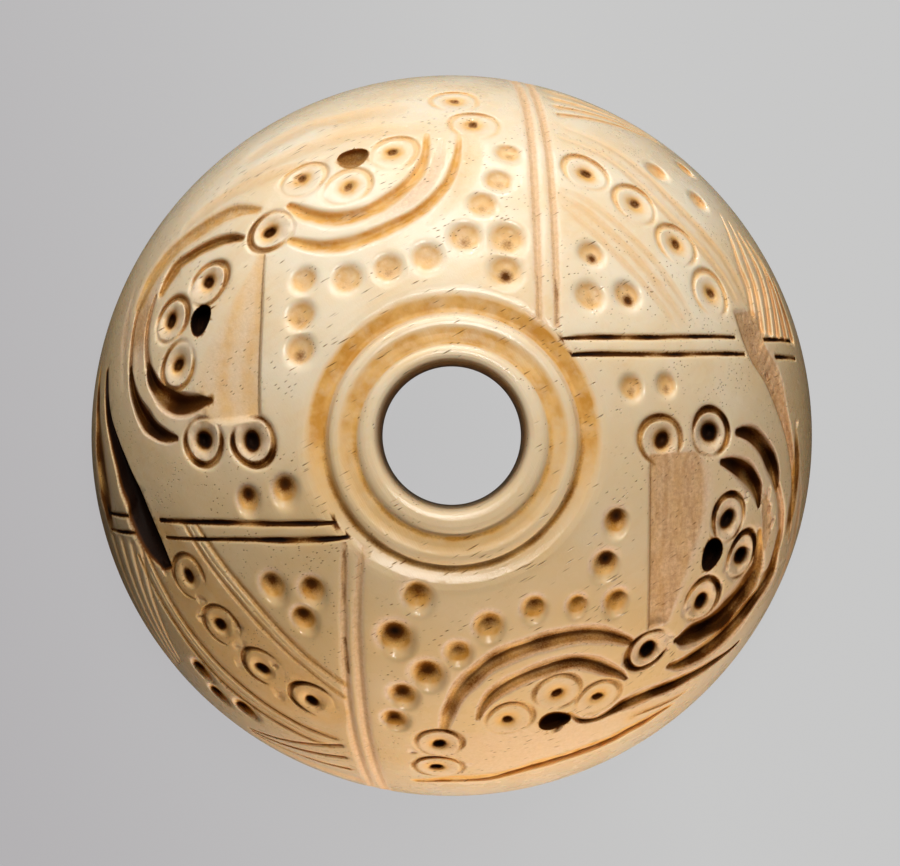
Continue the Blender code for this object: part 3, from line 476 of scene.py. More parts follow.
class Relief:
    """What the carving does at a set of points: depth in mm, and stain, dark fill (dirt and
    painted shade) and roughness 0..1.
    """

    def __init__(self, points):
        self.points = points
        self.depth = np.zeros(len(points))
        self.stain = np.zeros(len(points))
        self.dirt_and_shade = np.zeros(len(points))
        self.rough = np.zeros(len(points))

    def press(self, near, depth, stain=0.0, dirt_and_shade=0.0, rough=0.0):
        """The deepest cut wins, and so does the strongest colour."""
        self.depth[near] = np.maximum(self.depth[near], depth)
        self.stain[near] = np.maximum(self.stain[near], stain)
        self.dirt_and_shade[near] = np.maximum(self.dirt_and_shade[near], dirt_and_shade)
        self.rough[near] = np.maximum(self.rough[near], rough)

    def around(self, x, y, reach):
        """Indices of the points within reach of a plan position, with their offset from it to the
        east and to the north along the surface."""
        centre = over_plan(x, y)
        out = centre / DOME_RADIUS
        east = np.array((out[2], 0.0, -out[0])) / math.hypot(out[0], out[2])
        north = np.cross(out, east)
        offset = self.points - centre
        near = np.flatnonzero((offset * offset).sum(axis=1) < reach * reach)
        return near, offset[near] @ east, offset[near] @ north

    def collar(self):
        """Rings turned round the hole: the depth is read off the profile by the distance from the
        hole's axis, and further out by that from the collar's own centre. The cove outside and
        the band on top are stained most in the north. The groove and the step are stained and
        darkened in the south only, and the mouth on its north side: that is painted shade on walls
        that face away from the lamps, as well as stain and dirt."""
        off_x = self.points[:, 0] - COLLAR_CENTRE[0]
        off_y = self.points[:, 1] - COLLAR_CENTRE[1]
        near = np.flatnonzero(off_x ** 2 + off_y ** 2 < COLLAR_REACH ** 2)
        true_distance = np.hypot(self.points[near, 0], self.points[near, 1])
        distance = np.hypot(off_x[near], off_y[near])
        blend = ease((true_distance - BORE_RADIUS) / COLLAR_CENTRING)
        distance = true_distance + (distance - true_distance) * blend
        to_north = self.points[near, 1] / true_distance
        to_side = np.abs(self.points[near, 0]) / true_distance
        northern = ease(0.62 + 0.9 * to_north)
        southern = ease(0.45 - 1.2 * to_north)
        cove = collar_ring(distance, COLLAR_COVE) * northern
        band = collar_ring(distance, COLLAR_BAND) * (0.6 + 0.4 * northern)
        flank = hump(distance, *COLLAR_FLANK) * to_side ** 3
        # painted shade: the groove and the step darkened in the south, where their walls face away from
        # the lamps
        groove = hump(distance, *COLLAR_GROOVE) * southern
        step = hump(distance, *COLLAR_STEP) * southern
        # painted shade: the mouth darkened on its north side, where it turns down away from the lamps
        mouth = ease((COLLAR_MOUTH - distance) / 0.08) * ease(0.6 + to_north)
        patchy = 0.75 + 0.4 * waves(self.points[near], 1.3, 15)
        stain = sum(share * part for share, part in zip(
            COLLAR_STAIN_AND_SHADE, (cove, flank, band, groove, step, mouth)))
        dirt_and_shade = patchy * (COLLAR_DIRT_AND_SHADE[0] * groove + COLLAR_DIRT_AND_SHADE[1] * step) + COLLAR_DIRT_AND_SHADE[2] * mouth
        self.press(near, read_profile(COLLAR_PROFILE, distance),
                   np.clip(stain, 0.0, 1.0), np.clip(dirt_and_shade, 0.0, 1.0), 0.15 * cove)

    def pit(self, x, y, radius, depth, dirt_and_shade):
        """A bowl of depth x 0.5 ^ ((share / half) ^ steepness), drawn out to the south, stained and
        with a spot of dirt in it. In the south half pits are stained more, their dark spot is wider and
        pushed onto the north wall, which paints the shade that falls there, and they have a rough lip."""
        near, east, north = self.around(x, y, radius * 2.2)
        northern = ease(0.5 + 0.2 * y)
        southern = 1.0 - northern
        share = np.hypot(east, north) / radius
        drawn_out = np.where(north < 0.0, (0.74 + 0.20 * northern) * north, north)
        gentle = np.hypot(east, drawn_out) / radius
        bowl = np.clip(1.0 - (share / PIT_STAIN) ** 2.0, 0.0, 1.0)
        dent = 0.5 ** ((gentle / PIT_HALF_DEPTH) ** PIT_STEEPNESS)
        lip = hump(share, *PIT_LIP) * southern * ease(0.5 + (north - east) / radius)
        # painted shade: in the south half the dark spot sits on the north wall and is wider, where
        # shade falls
        lean = (0.24 * northern - 0.20 * southern) * radius / 0.6
        spot_radius = (0.44 + 0.24 * southern) * radius
        spot = hump(np.hypot(east, north + lean), 0.0, spot_radius) * ease(bowl * 2.5)
        self.press(near, depth * (1.0 - 0.15 * northern) * (dent + 0.10 * spot),
                   (0.72 * northern + 1.0 * southern) * ease(bowl * 2.0),
                   dirt_and_shade * np.clip(spot * (0.92 - 0.12 * northern), 0.0, 1.0),
                   np.maximum(0.5 * spot, 0.5 * lip))

    def hole(self, x, y, half_east, half_north, depth, dirt_and_shade):
        """A deep drilled hole of depth x (1 - share ^ 4), slightly three-sided."""
        near, east, north = self.around(x, y, 1.2 * max(half_east, half_north))
        share = np.hypot(east / half_east, north / half_north)
        share *= 1.0 + 0.05 * np.sin(3.0 * np.arctan2(north, east) + x)
        bowl = np.clip(1.0 - share ** HOLE_STEEPNESS, 0.0, 1.0)
        lined = ease((1.10 - share) / 0.14)
        self.press(near, depth * bowl, lined, lined * dirt_and_shade, 0.3 * bowl)

    def chip(self, x, y, radius, depth):
        """A flake broken out: a dent of depth x (1 - share ^ 1.6) with a jagged outline."""
        near, east, north = self.around(x, y, radius * 1.5)
        turn = np.arctan2(north, east)
        share = np.hypot(east, north) / radius
        share *= 1.0 + 0.12 * np.sin(2.0 * turn + 7.0 * x) + 0.10 * np.sin(3.0 * turn + 5.0 * y)
        dent = np.clip(1.0 - share ** 1.6, 0.0, 1.0)
        facets = 0.8 + 0.35 * np.sin(9.0 * east + 6.0 * north + x) * np.sin(7.0 * north - 4.0 * east)
        self.depth[near] += depth * dent * facets
        self.rough[near] = np.maximum(self.rough[near], 0.45 * ease(dent * 2.0))

    def ring_mark(self, x, y, strength, dirt_and_shade, deep_side, seed):
        """A ring groove that varies in depth round its circle, a dished disc inside it, and a
        drilled dot in the middle, wider the deeper and dirtier the mark is."""
        rng = np.random.default_rng(seed)
        near, east, north = self.around(x, y, RING_REACH)
        turn = np.arctan2(north, east)
        uneven = 1.0 + 0.03 * np.sin(2.0 * turn + rng.uniform(0.0, 6.28))
        uneven += 0.02 * np.sin(3.0 * turn + rng.uniform(0.0, 6.28))
        vary = 0.70 + 0.48 * np.cos(turn - math.radians(deep_side + rng.uniform(-15.0, 15.0)))
        vary = np.maximum(vary + 0.14 * np.sin(3.0 * turn + seed), 0.0)
        distance = np.hypot(east, north) * uneven
        groove = read_profile(RING_GROOVE, distance, 0.12) * vary
        off_east = east - rng.uniform(-DOT_OFF_CENTRE, DOT_OFF_CENTRE)
        off_north = north - rng.uniform(-DOT_OFF_CENTRE, DOT_OFF_CENTRE)
        middle = np.hypot(off_east, off_north)
        inner = ease((0.9 - distance) / 0.3)
        disc = read_profile(RING_DISC, distance + (middle - distance) * inner, 0.09)
        dot_radius = DOT_RADIUS + 0.15 * dirt_and_shade * strength
        ragged = 1.0 + 0.10 * np.sin(2.0 * np.arctan2(off_north, off_east) + 2.0 * seed)
        dot = 0.5 ** ((middle * ragged / dot_radius) ** DOT_STEEPNESS)
        disc += (0.28 + 0.22 * dirt_and_shade) * dot
        floor = ease((groove - 0.03) / 0.15)
        dish = ease((0.66 - middle) / 0.36)
        stain = np.maximum((0.40 + 0.5 * strength) * floor, 0.85 * dish)
        patchy = 0.62 + 0.40 * waves(self.points[near], 1.1, 41)
        in_groove = dirt_and_shade * patchy * ease(groove / 0.16 - 0.05)
        soil_and_shade = np.maximum(in_groove, (0.40 + 0.60 * dirt_and_shade) * ease(1.5 * dot))
        worn = 0.030 * dirt_and_shade * waves(self.points[near], 0.5, 43) * ease((1.2 - distance) / 0.2)
        coarse = np.maximum(0.3 * dot, 0.35 * dirt_and_shade * ease((1.3 - distance) / 0.3))
        self.press(near, np.maximum(strength * np.maximum(groove, disc) + worn, 0.0),
                   np.clip(stain, 0.0, 1.0), np.clip(soil_and_shade, 0.0, 1.0), coarse)

    def stroke(self, style, knots):
        """A groove with rounded shoulders, whose cross-section is depth x 0.5 ^ (share ^ shape),
        where share is the distance from the middle over half the width at half depth."""
        shape, stain, dirt_and_shade, rough, rubbed, fill = style
        line = follow(knots)
        reach = line[3].max() * 1.1 + 0.15
        near, side, past, travel, width, depth = nearest_on(self.points, line, reach)
        seed = 2.0 * knots[0][0]
        places = self.points[near]
        wobble = 1.0 + 0.05 * np.sin(travel * 3.1 + seed) + 0.04 * waves(places, 1.0, 23)
        share = np.hypot(side, past) / (0.5 * width * wobble)
        cut = np.clip((0.5 ** (share ** shape) - STROKE_TRIM) / (1.0 - STROKE_TRIM), 0.0, 1.0)
        fade = ease(depth / 0.10)
        lip = rubbed * hump(share, *STROKE_LIP) * fade
        if dirt_and_shade > 0.4:
            dirt_and_shade = dirt_and_shade * np.clip(0.80 + 0.40 * waves(places, 1.6, 21), 0.0, 1.0)
        uneven = 1.0 + 0.06 * waves(places, 0.9, 25)
        # the dark fill at the bottom of the cut: dirt, and painted shade in the deeper channels
        self.press(near, depth * cut * uneven + STROKE_LIP_WEAR * lip,
                   stain * ease(cut * 1.8) * fade,
                   dirt_and_shade * ease((cut - 0.9 * (1.0 - fill)) * (1.6 + 1.2 * dirt_and_shade)) * fade,
                   np.maximum(rough * ease(cut * 2.2) * fade, 0.8 * lip))

    def scoop(self, hand, coarse, gloom, knots):
        """A sunk wedge: a steep wall along the line and a floor that rises away from it, with the
        flat tool's chatter marks on it, a dark fill of dirt and painted shade that is deepest near the
        wall, and a dark seam, painted shade and dirt, at the foot of the wall."""
        line = follow(knots)
        reach = line[3].max() + 0.3
        near, side, past, travel, width, depth = nearest_on(self.points, line, reach)
        inward = side * hand
        floor = np.clip(1.0 - inward / width, 0.0, 1.0)
        wall = ease((inward + 0.05) / WEDGE_WALL)
        ends = ease(1.0 - past / WEDGE_END)
        chatter = 0.004 * np.sin(inward * 17.0 + 0.4 * travel)
        chatter = chatter + 0.014 * waves(self.points[near], 0.35, 31)
        inside = wall * ends * ease(floor * 5.0)
        fading = wall * ends * ease(floor * 2.8)
        streak = 0.7 + 0.3 * np.sin(inward * 5.0 + 1.3 * np.sin(travel * 0.9))
        # painted shade: the seam at the wall's foot and the dark fill that deepens toward the wall
        shade_seam = wall * hump(inward, *WEDGE_SHADE_SEAM) * ends
        self.press(near, np.maximum((depth * ease(floor * 1.05) + coarse * chatter) * inside, 0.0),
                   np.maximum(0.60 * fading * streak * (1.3 - coarse), 0.7 * shade_seam),
                   np.maximum(gloom * inside * ease(floor * 2.0), 0.50 * shade_seam),
                   fading * coarse)


# How uneven the polished surface is, as (height, wavelength, seed), and how far the polish has
# lowered the whole of it, mm
UNEVEN = ((0.020, 4.5, 11), (0.006, 1.3, 12))
POLISHED_OFF = 0.022


def carve(points):
    """All the cuts at the given points of the dome, as a Relief."""
    relief = Relief(points)
    relief.collar()
    for scoop in SCOOPS:
        relief.scoop(*scoop)
    for style, knots in STROKES:
        relief.stroke(style, knots)
    for first_start, last_start, first_end, last_end, count in RIM_FANS:
        for index in range(count):
            share = index / (count - 1)
            start = [a + (b - a) * share for a, b in zip(first_start, last_start)]
            end = [a + (b - a) * share for a, b in zip(first_end, last_end)]
            runs_out = (*end, FAN_RUN_OUT * FAN_WIDTH, FAN_RUN_OUT * FAN_DEPTH)
            relief.stroke(FAN, ((*start, FAN_WIDTH, FAN_DEPTH), runs_out))
    marks = list(RING_MARKS)
    for distance, bearing, step, count, strength, dirt_and_shade, deep_side in RING_ROWS:
        for index in range(count):
            turn = math.radians(bearing + step * index)
            x = distance * math.cos(turn)
            y = distance * math.sin(turn)
            marks.append((x, y, strength, dirt_and_shade, deep_side))
    for seed, mark in enumerate(marks):
        relief.ring_mark(*mark, seed)
    for pit in PITS:
        relief.pit(*pit)
    for hole in DEEP_HOLES:
        relief.hole(*hole)
    for chip in CHIPS:
        relief.chip(*chip)
    relief.depth += sum(height * waves(points, wavelength, seed) for height, wavelength, seed in UNEVEN)
    relief.depth += POLISHED_OFF
    return relief


# The mesh: spacing of the first grid (mm), rings across the base and up the bore, how far the bore's
# last ring stops below the collar (mm), and the triangles kept
GRID_SPACING = 0.062
BASE_RINGS = 16
BORE_RINGS = 24
COLLAR_SINK = 1.2
TRIANGLES_WANTED = 188000
MOST_DROP = 2.0
SLOPE_STEP = 0.03


def whorl_grid():
    """Rings of points down the dome, over the base edge, in across the base and up the bore, as
    radii and heights, with the number of rings on the dome. The base edge is a quarter circle."""
    top = math.asin(BORE_RADIUS / DOME_RADIUS)
    low = math.acos(BASE_EDGE_RADIUS / DOME_RADIUS)
    dome_rings = int(DOME_RADIUS * (low - top) / GRID_SPACING)
    angles = np.linspace(top, low, dome_rings)
    radii = DOME_RADIUS * np.sin(angles)
    heights = DOME_RADIUS * np.cos(angles)
    turns = np.radians(np.arange(15.0, 91.0, 15.0))
    edge_radii = radii[-1] - BASE_EDGE_RADIUS * (1.0 - np.cos(turns))
    edge_heights = BASE_EDGE_RADIUS * (1.0 - np.sin(turns))
    base_radii = np.linspace(
        edge_radii[-1] - BASE_EDGE_RADIUS, BORE_RADIUS + BORE_EDGE_CHAMFER, BASE_RINGS)
    bore_heights = np.linspace(BORE_EDGE_CHAMFER, heights[0] - COLLAR_SINK, BORE_RINGS)
    all_radii = np.concatenate((radii, edge_radii, base_radii, np.full(BORE_RINGS, BORE_RADIUS)))
    all_heights = np.concatenate((heights, edge_heights, np.zeros(BASE_RINGS), bore_heights))
    return all_radii, all_heights, dome_rings


def drop_per_depth(dome):
    """How far a dome point is lowered for each mm of depth: 1 / cosine of the slope there, so that
    the cut is as deep square to the surface, but never more than MOST_DROP."""
    return np.minimum(DOME_RADIUS / np.maximum(dome[:, 2], 1e-6), MOST_DROP)


def whorl_mesh():
    """The carved dome: the points of the grid's dome rings are lowered straight down, the way the
    tools went in, by the relief depth times the drop per depth."""
    radii, heights, dome_rings = whorl_grid()
    around = int(2.0 * math.pi * DOME_RADIUS / GRID_SPACING)
    bearings = np.linspace(0.0, 2.0 * math.pi, around, endpoint=False)
    x = np.outer(radii, np.cos(bearings))
    y = np.outer(radii, np.sin(bearings))
    z = np.repeat(heights[:, None], around, axis=1)
    points = np.stack((x, y, z), axis=2).reshape(-1, 3)
    dome = points[:dome_rings * around]
    points[:dome_rings * around, 2] = dome[:, 2] - carve(dome).depth * drop_per_depth(dome)
    ring_count = len(radii)
    corners = np.arange(ring_count * around).reshape(ring_count, around)
    after = np.roll(corners, -1, axis=1)
    below = np.roll(corners, -1, axis=0)
    below_after = np.roll(after, -1, axis=0)
    faces = np.stack((corners, below, below_after, after), axis=2).reshape(-1, 4)
    mesh = bpy.data.meshes.new("whorl_grid")
    mesh.vertices.add(len(points))
    mesh.vertices.foreach_set("co", (points * MM).astype(np.float32).ravel())
    mesh.loops.add(faces.size)
    mesh.loops.foreach_set("vertex_index", faces.astype(np.int32).ravel())
    mesh.polygons.add(len(faces))
    mesh.polygons.foreach_set("loop_start", np.arange(0, faces.size, 4, dtype=np.int32))
    mesh.update(calc_edges=True)
    return mesh


def thinned(mesh, wanted):
    """The mesh with its flatter stretches collapsed, down to the wanted number of triangles."""
    draft = bpy.data.objects.new("whorl_draft", mesh)
    bpy.context.scene.collection.objects.link(draft)
    collapse = draft.modifiers.new("collapse", "DECIMATE")
    collapse.ratio = wanted / (2.0 * len(mesh.polygons))
    graph = bpy.context.evaluated_depsgraph_get()
    result = bpy.data.meshes.new_from_object(draft.evaluated_get(graph))
    bpy.data.objects.remove(draft)
    bpy.data.meshes.remove(mesh)
    result.name = "carved_whorl"
    return result


def on_dome(points):
    """The points moved straight out or in to the dome's radius."""
    return points * (DOME_RADIUS / np.linalg.norm(points, axis=1)[:, None])


def relief_slope(out):
    """The gradient of the carving's depth where the directions out meet the dome: its change over
    a short step to the east and to the north, as vectors."""
    east = np.stack((-out[:, 1], out[:, 0], np.zeros(len(out))), axis=1)
    east /= np.linalg.norm(east, axis=1)[:, None]
    slope = np.zeros_like(out)
    for direction in (east, np.cross(out, east)):
        ahead = on_dome(out * DOME_RADIUS + direction * SLOPE_STEP)
        behind = on_dome(out * DOME_RADIUS - direction * SLOPE_STEP)
        change = (carve(ahead).depth - carve(behind).depth) / (2.0 * SLOPE_STEP)
        slope += direction * change[:, None]
    return slope


# How stained, dirty and rough the wall of the bore is on its north side, where the stain and dirt
# also paint the shade of a wall that faces away from the lamps
BORE_WEAR_AND_SHADE = {"stain": 0.6, "dirt_and_shade": 0.30, "rough": 0.2}


def finish_surface(mesh):
    """Store stain, dirt and roughness on the points, and shade the dome with the relief's own
    slopes. A point lowered by depth x drop has the normal out x (1 - drop x slope's height) + slope
    x drop x out's height. The bore has no relief: it is stained and darkened most on its north
    side, which paints the shade of that wall."""
    count = len(mesh.vertices)
    places = np.empty(count * 3, dtype=np.float32)
    mesh.vertices.foreach_get("co", places)
    places = places.reshape(-1, 3).astype(float) / MM
    flat_distance = np.hypot(places[:, 0], places[:, 1])
    dome = (places[:, 2] > BASE_EDGE_RADIUS * 1.2) & (flat_distance > BORE_RADIUS + 0.004)
    above = places[dome]
    above[:, 2] = np.sqrt(np.maximum(DOME_RADIUS ** 2 - above[:, 0] ** 2 - above[:, 1] ** 2, 0.0))
    out = above / np.linalg.norm(above, axis=1)[:, None]
    relief = carve(out * DOME_RADIUS)
    slope = relief_slope(out)
    drop = drop_per_depth(above)
    total = out * (1.0 - drop * slope[:, 2])[:, None] + slope * (drop * out[:, 2])[:, None]
    normals = np.empty(count * 3, dtype=np.float32)
    mesh.vertex_normals.foreach_get("vector", normals)
    normals = normals.reshape(-1, 3)
    normals[dome] = total / np.linalg.norm(total, axis=1)[:, None]
    mesh.shade_smooth()
    mesh.normals_split_custom_set_from_vertices(normals)
    bore = (flat_distance < BORE_RADIUS + 0.02) & ~dome
    # painted shade: the bore wall darkened most on its north side, which faces away from the lamps
    far_side = ease(0.5 + 0.5 * places[bore, 1] / BORE_RADIUS)
    for name, in_bore in BORE_WEAR_AND_SHADE.items():
        full = np.zeros(count, dtype=np.float32)
        full[dome] = getattr(relief, name)
        full[bore] = in_bore * (0.35 + 0.65 * far_side)
        attribute = mesh.attributes.new(name, "FLOAT", "POINT")
        attribute.data.foreach_set("value", full)


whorl_surface = thinned(whorl_mesh(), TRIANGLES_WANTED)
finish_surface(whorl_surface)
whorl = bpy.data.objects.new("carved_whorl", whorl_surface)
bpy.context.scene.collection.objects.link(whorl)

# Compact bone, cut, scraped and then polished by hand: cream, close-grained and glossy where it is
# polished, with fine dark pores that run along the grain, matt and tan where the tools have left it
# rough, with orange-brown stain in the cuts and a near-black fill of dirt and painted shade at
# their bottoms, and a darker, warmer tone painted as shade over the south half and the flanks
IVORY = "#EBDDC4"
WARM_BONE = "#E8CCA2"
# painted shade: the darker, warmer tone laid over the south half and the flanks
SHADE_TONE = "#DAB57D"
STAIN_PALE = "#E4B46C"
STAIN_DEEP = "#CC9240"
TOOLED_TAN = "#E6C09A"
RUBBED_PINK = "#EBCFB6"
TOOLED_DARK = "#C6986C"
GRIT_BROWN = "#8A5836"
# the dark fill of the cuts: dirt, and painted shade as well
SOIL_AND_SHADE_BROWN = "#74400A"
SOIL_AND_SHADE_BLACK = "#1E0D04"
PORE = "#7A5428"
BONE_IOR = 1.54

# Patterns in the bone: size in mm, detail and roughness, and for the ones drawn out along a
# direction length, width and the direction's turn from east in degrees. The canals of compact bone
# are under 0.1 mm wide and polishing scratches finer still: both are as coarse as they need to show.
PATTERNS = {
    "mottle": (3.5, 3.0, 0.55),
    "shade_patches": (5.0, 2.0, 0.55),
    "tool_grit": (0.17, 4.0, 0.75),
    "stain": (1.1, 3.0, 0.55),
    "stain_edge": (0.5, 4.0, 0.55),
    "pore_patch": (1.4, 2.0, 0.55),
    "dirt_speck": (0.09, 3.0, 0.7),
    "gloss": (1.6, 4.0, 0.55),
    "tooth": (0.12, 4.0, 0.6),
    "swell": (0.7, 2.0, 0.55),
}
LONG_PATTERNS = {
    "grain": (4.0, 0.35, 30.0, 3.0, 0.6),
    "tool_streak": (0.22, 1.2, 0.0, 4.0, 0.65),
    "scratch": (2.5, 0.06, -62.0, 3.0, 0.7),
}
PORE_LENGTH = 1.5
PORE_WIDTH = 0.14
PORE_TURN = 30.0
BUMP_HEIGHT = 0.05

# Where the painted shade tone starts and is full, mm: going south, up from the base, and out to
# the flanks. It is painted shade on the south half and the flanks, which the lamps light less, and
# is thinner low on the south edge, which the low strip lights.
SHADE_SOUTH = (5.0, -8.5)
SHADE_UP = (2.0, 7.0)
SHADE_OUT = (10.0, 14.5)

# Sockets of a Mix node for colours: its share, its two colours, and what it gives
SHARE, FIRST, SECOND, MIXED = 0, 6, 7, 2


def linear(hex_colour):
    """sRGB hex to linear RGBA."""
    channels = [int(hex_colour[place:place + 2], 16) / 255.0 for place in (1, 3, 5)]
    return [c / 12.92 if c <= 0.04045 else ((c + 0.055) / 1.055) ** 2.4 for c in channels] + [1.0]


def add_node(tree, kind, output, sockets, **settings):
    """Add one shader node and return one of its outputs. The sockets are input values, or outputs
    to link to the inputs: a dict by name or place, or a list in the node's own order."""
    made = tree.nodes.new("ShaderNode" + kind)
    for name, value in settings.items():
        setattr(made, name, value)
    pairs = sockets.items() if isinstance(sockets, dict) else enumerate(sockets)
    for socket, value in pairs:
        if isinstance(value, bpy.types.NodeSocket):
            tree.links.new(value, made.inputs[socket])
        else:
            made.inputs[socket].default_value = value
    return made.outputs[output]


def polished_bone():
    """The bone material, from the surface's stain, dirt and rough attributes. A Map Range node
    takes a value, the two ends it runs between, and what it gives at each end."""
    material = bpy.data.materials.new("polished_bone")
    material.use_nodes = True
    tree = material.node_tree
    shader = tree.nodes["Principled BSDF"]
    add = functools.partial(add_node, tree)
    place = add("TexCoord", "Object", {})
    easting, northing, upright = (add("SeparateXYZ", axis, [place]) for axis in "XYZ")
    stain, dirt_and_shade, rough = (
        add("Attribute", "Fac", {}, attribute_name=name) for name in ("stain", "dirt_and_shade", "rough"))
    pattern = {}
    for name, (size, detail, roughness) in PATTERNS.items():
        pattern[name] = add("TexNoise", "Fac", {
            "Vector": place, "Scale": 1.0 / (size * MM), "Detail": detail, "Roughness": roughness})
    for name, (length, width, turn, detail, roughness) in LONG_PATTERNS.items():
        cells = add("Mapping", "Vector", {
            "Vector": place, "Rotation": (0.0, 0.0, math.radians(turn)),
            "Scale": (length * MM, width * MM, width * MM)}, vector_type="TEXTURE")
        pattern[name] = add("TexNoise", "Fac", {
            "Vector": cells, "Scale": 1.0, "Detail": detail, "Roughness": roughness})

    # warmer patches along the grain
    mottle = add("MapRange", "Result", [pattern["mottle"], 0.35, 0.68])
    grain = add("MapRange", "Result", [pattern["grain"], 0.3, 0.7, 0.5, 1.0])
    warm = add("Math", "Value", [mottle, grain], operation="MULTIPLY")

    # painted shade: a darker, warmer tone where the lamps light least, deepest in the south and on
    # the flanks, thin near the base
    south = add("MapRange", "Result", [northing, SHADE_SOUTH[0] * MM, SHADE_SOUTH[1] * MM])
    patches = add("MapRange", "Result", [pattern["shade_patches"], 0.3, 0.7, -0.15, 0.15])
    painted_shade = add("Math", "Value", [south, patches], operation="ADD")
    painted_shade = add("MapRange", "Result", [painted_shade, 0.0, 1.0])
    up = add("MapRange", "Result", [upright, SHADE_UP[0] * MM, SHADE_UP[1] * MM, 0.20, 0.88])
    painted_shade = add("Math", "Value", [painted_shade, up], operation="MULTIPLY")
    out = add("Math", "Value", [easting, 0.0], operation="ABSOLUTE")
    out = add("MapRange", "Result", [out, SHADE_OUT[0] * MM, SHADE_OUT[1] * MM, 0.0, 0.75])
    painted_shade = add("Math", "Value", [painted_shade, out], operation="MAXIMUM")

    # where a tool has left the bone rough: tan, streaked and gritty, or pink where it is only rubbed
    grit = add("MapRange", "Result", [pattern["tool_grit"], 0.36, 0.68])
    streaks = add("MapRange", "Result", [pattern["tool_streak"], 0.35, 0.65])
    tooled = add("Mix", MIXED, {
        SHARE: streaks, FIRST: linear(TOOLED_TAN), SECOND: linear(TOOLED_DARK)}, data_type="RGBA")
    gritty = []
    for bare, amount in ((linear(RUBBED_PINK), 0.42), (tooled, 0.62)):
        share = add("Math", "Value", [grit, amount], operation="MULTIPLY")
        gritty.append(add("Mix", MIXED, {
            SHARE: share, FIRST: bare, SECOND: linear(GRIT_BROWN)}, data_type="RGBA"))
    roughest = add("MapRange", "Result", [rough, 0.45, 0.75])
    tooled = add("Mix", MIXED, {
        SHARE: roughest, FIRST: gritty[0], SECOND: gritty[1]}, data_type="RGBA")
    tooled_share = add("MapRange", "Result", [rough, 0.0, 0.7, 0.0, 0.85])

    # the stain in the cuts, ragged at its edges and deeper in patches where there is more of it
    deeper = add("MapRange", "Result", [pattern["stain"], 0.38, 0.62])
    stained = linear(STAIN_DEEP)
    for share in (deeper, add("Math", "Value", [stain, stain], operation="MULTIPLY")):
        stained = add("Mix", MIXED, {
            SHARE: share, FIRST: linear(STAIN_PALE), SECOND: stained}, data_type="RGBA")
    edges = add("MapRange", "Result", [pattern["stain_edge"], 0.30, 0.62, 0.7, 1.15])
    stain_share = add("Math", "Value", [stain, edges], operation="MULTIPLY")
    stain_share = add("Math", "Value", [stain_share, 1.0], operation="MINIMUM")

    # the open pores, long thin cells along the grain, in some patches only
    cells = add("Mapping", "Vector", {
        "Vector": place, "Rotation": (0.0, 0.0, math.radians(PORE_TURN)),
        "Scale": (PORE_LENGTH * MM, PORE_WIDTH * MM, PORE_WIDTH * MM)}, vector_type="TEXTURE")
    pores = add("TexVoronoi", "Distance", {"Vector": cells, "Scale": 1.0}, feature="F1")
    pores = add("MapRange", "Result", [pores, 0.07, 0.23, 1.0, 0.0])
    porous = add("MapRange", "Result", [pattern["pore_patch"], 0.44, 0.56])
    pores = add("Math", "Value", [pores, porous], operation="MULTIPLY")
    pore_share = add("Math", "Value", [pores, 0.85], operation="MULTIPLY")

    # the dark fill at the bottom of the cuts, dirt and painted shade, specked, and blacker the more
    # there is
    speck = add("Math", "Value", [pattern["dirt_speck"], 0.6], operation="MULTIPLY")
    soil_and_shade_share = add("Math", "Value", [dirt_and_shade, 1.3], operation="MULTIPLY")
    soil_and_shade_share = add("Math", "Value", [soil_and_shade_share, speck], operation="ADD")
    soil_and_shade_share = add("MapRange", "Result", [soil_and_shade_share, 0.48, 1.05])
    blackness = add("MapRange", "Result", [dirt_and_shade, 0.45, 0.90])
    soil_and_shade = add("Mix", MIXED, {
        SHARE: blackness, FIRST: linear(SOIL_AND_SHADE_BROWN), SECOND: linear(SOIL_AND_SHADE_BLACK)}, data_type="RGBA")

    # each layer lies over the ones before it, from the clean ivory bone up
    colour = linear(IVORY)
    for share, layer in (
            (warm, linear(WARM_BONE)), (painted_shade, linear(SHADE_TONE)), (tooled_share, tooled),
            (stain_share, stained), (pore_share, linear(PORE)), (soil_and_shade_share, soil_and_shade)):
        colour = add("Mix", MIXED, {SHARE: share, FIRST: colour, SECOND: layer}, data_type="RGBA")

    # duller where it is rough, stained or under the dark fill of dirt and painted shade, and a little
    # uneven all over
    dullness = add("Math", "Value", [rough, 0.30], operation="MULTIPLY")
    for part, amount in ((soil_and_shade_share, 0.30), (stain, 0.08)):
        part = add("Math", "Value", [part, amount], operation="MULTIPLY")
        dullness = add("Math", "Value", [dullness, part], operation="ADD")
    gloss = add("MapRange", "Result", [pattern["gloss"], 0.3, 0.7, 0.22, 0.34])
    dullness = add("Math", "Value", [dullness, gloss], operation="ADD")

    # the finest relief: tooth and streaks where it is rough, pores, scratches and a soft swell
    coarseness = add("MapRange", "Result", [rough, 0.0, 1.0, 0.04, 0.8])
    height = add("Math", "Value", [pattern["tooth"], coarseness], operation="MULTIPLY")
    ploughed = add("Math", "Value", [pattern["tool_streak"], rough], operation="MULTIPLY")
    for part, amount in (
            (ploughed, 0.8), (pores, -0.7), (pattern["scratch"], 0.22), (pattern["swell"], 0.25)):
        part = add("Math", "Value", [part, amount], operation="MULTIPLY")
        height = add("Math", "Value", [height, part], operation="ADD")
    bump = add("Bump", "Normal", {"Height": height, "Strength": 0.7, "Distance": BUMP_HEIGHT * MM})

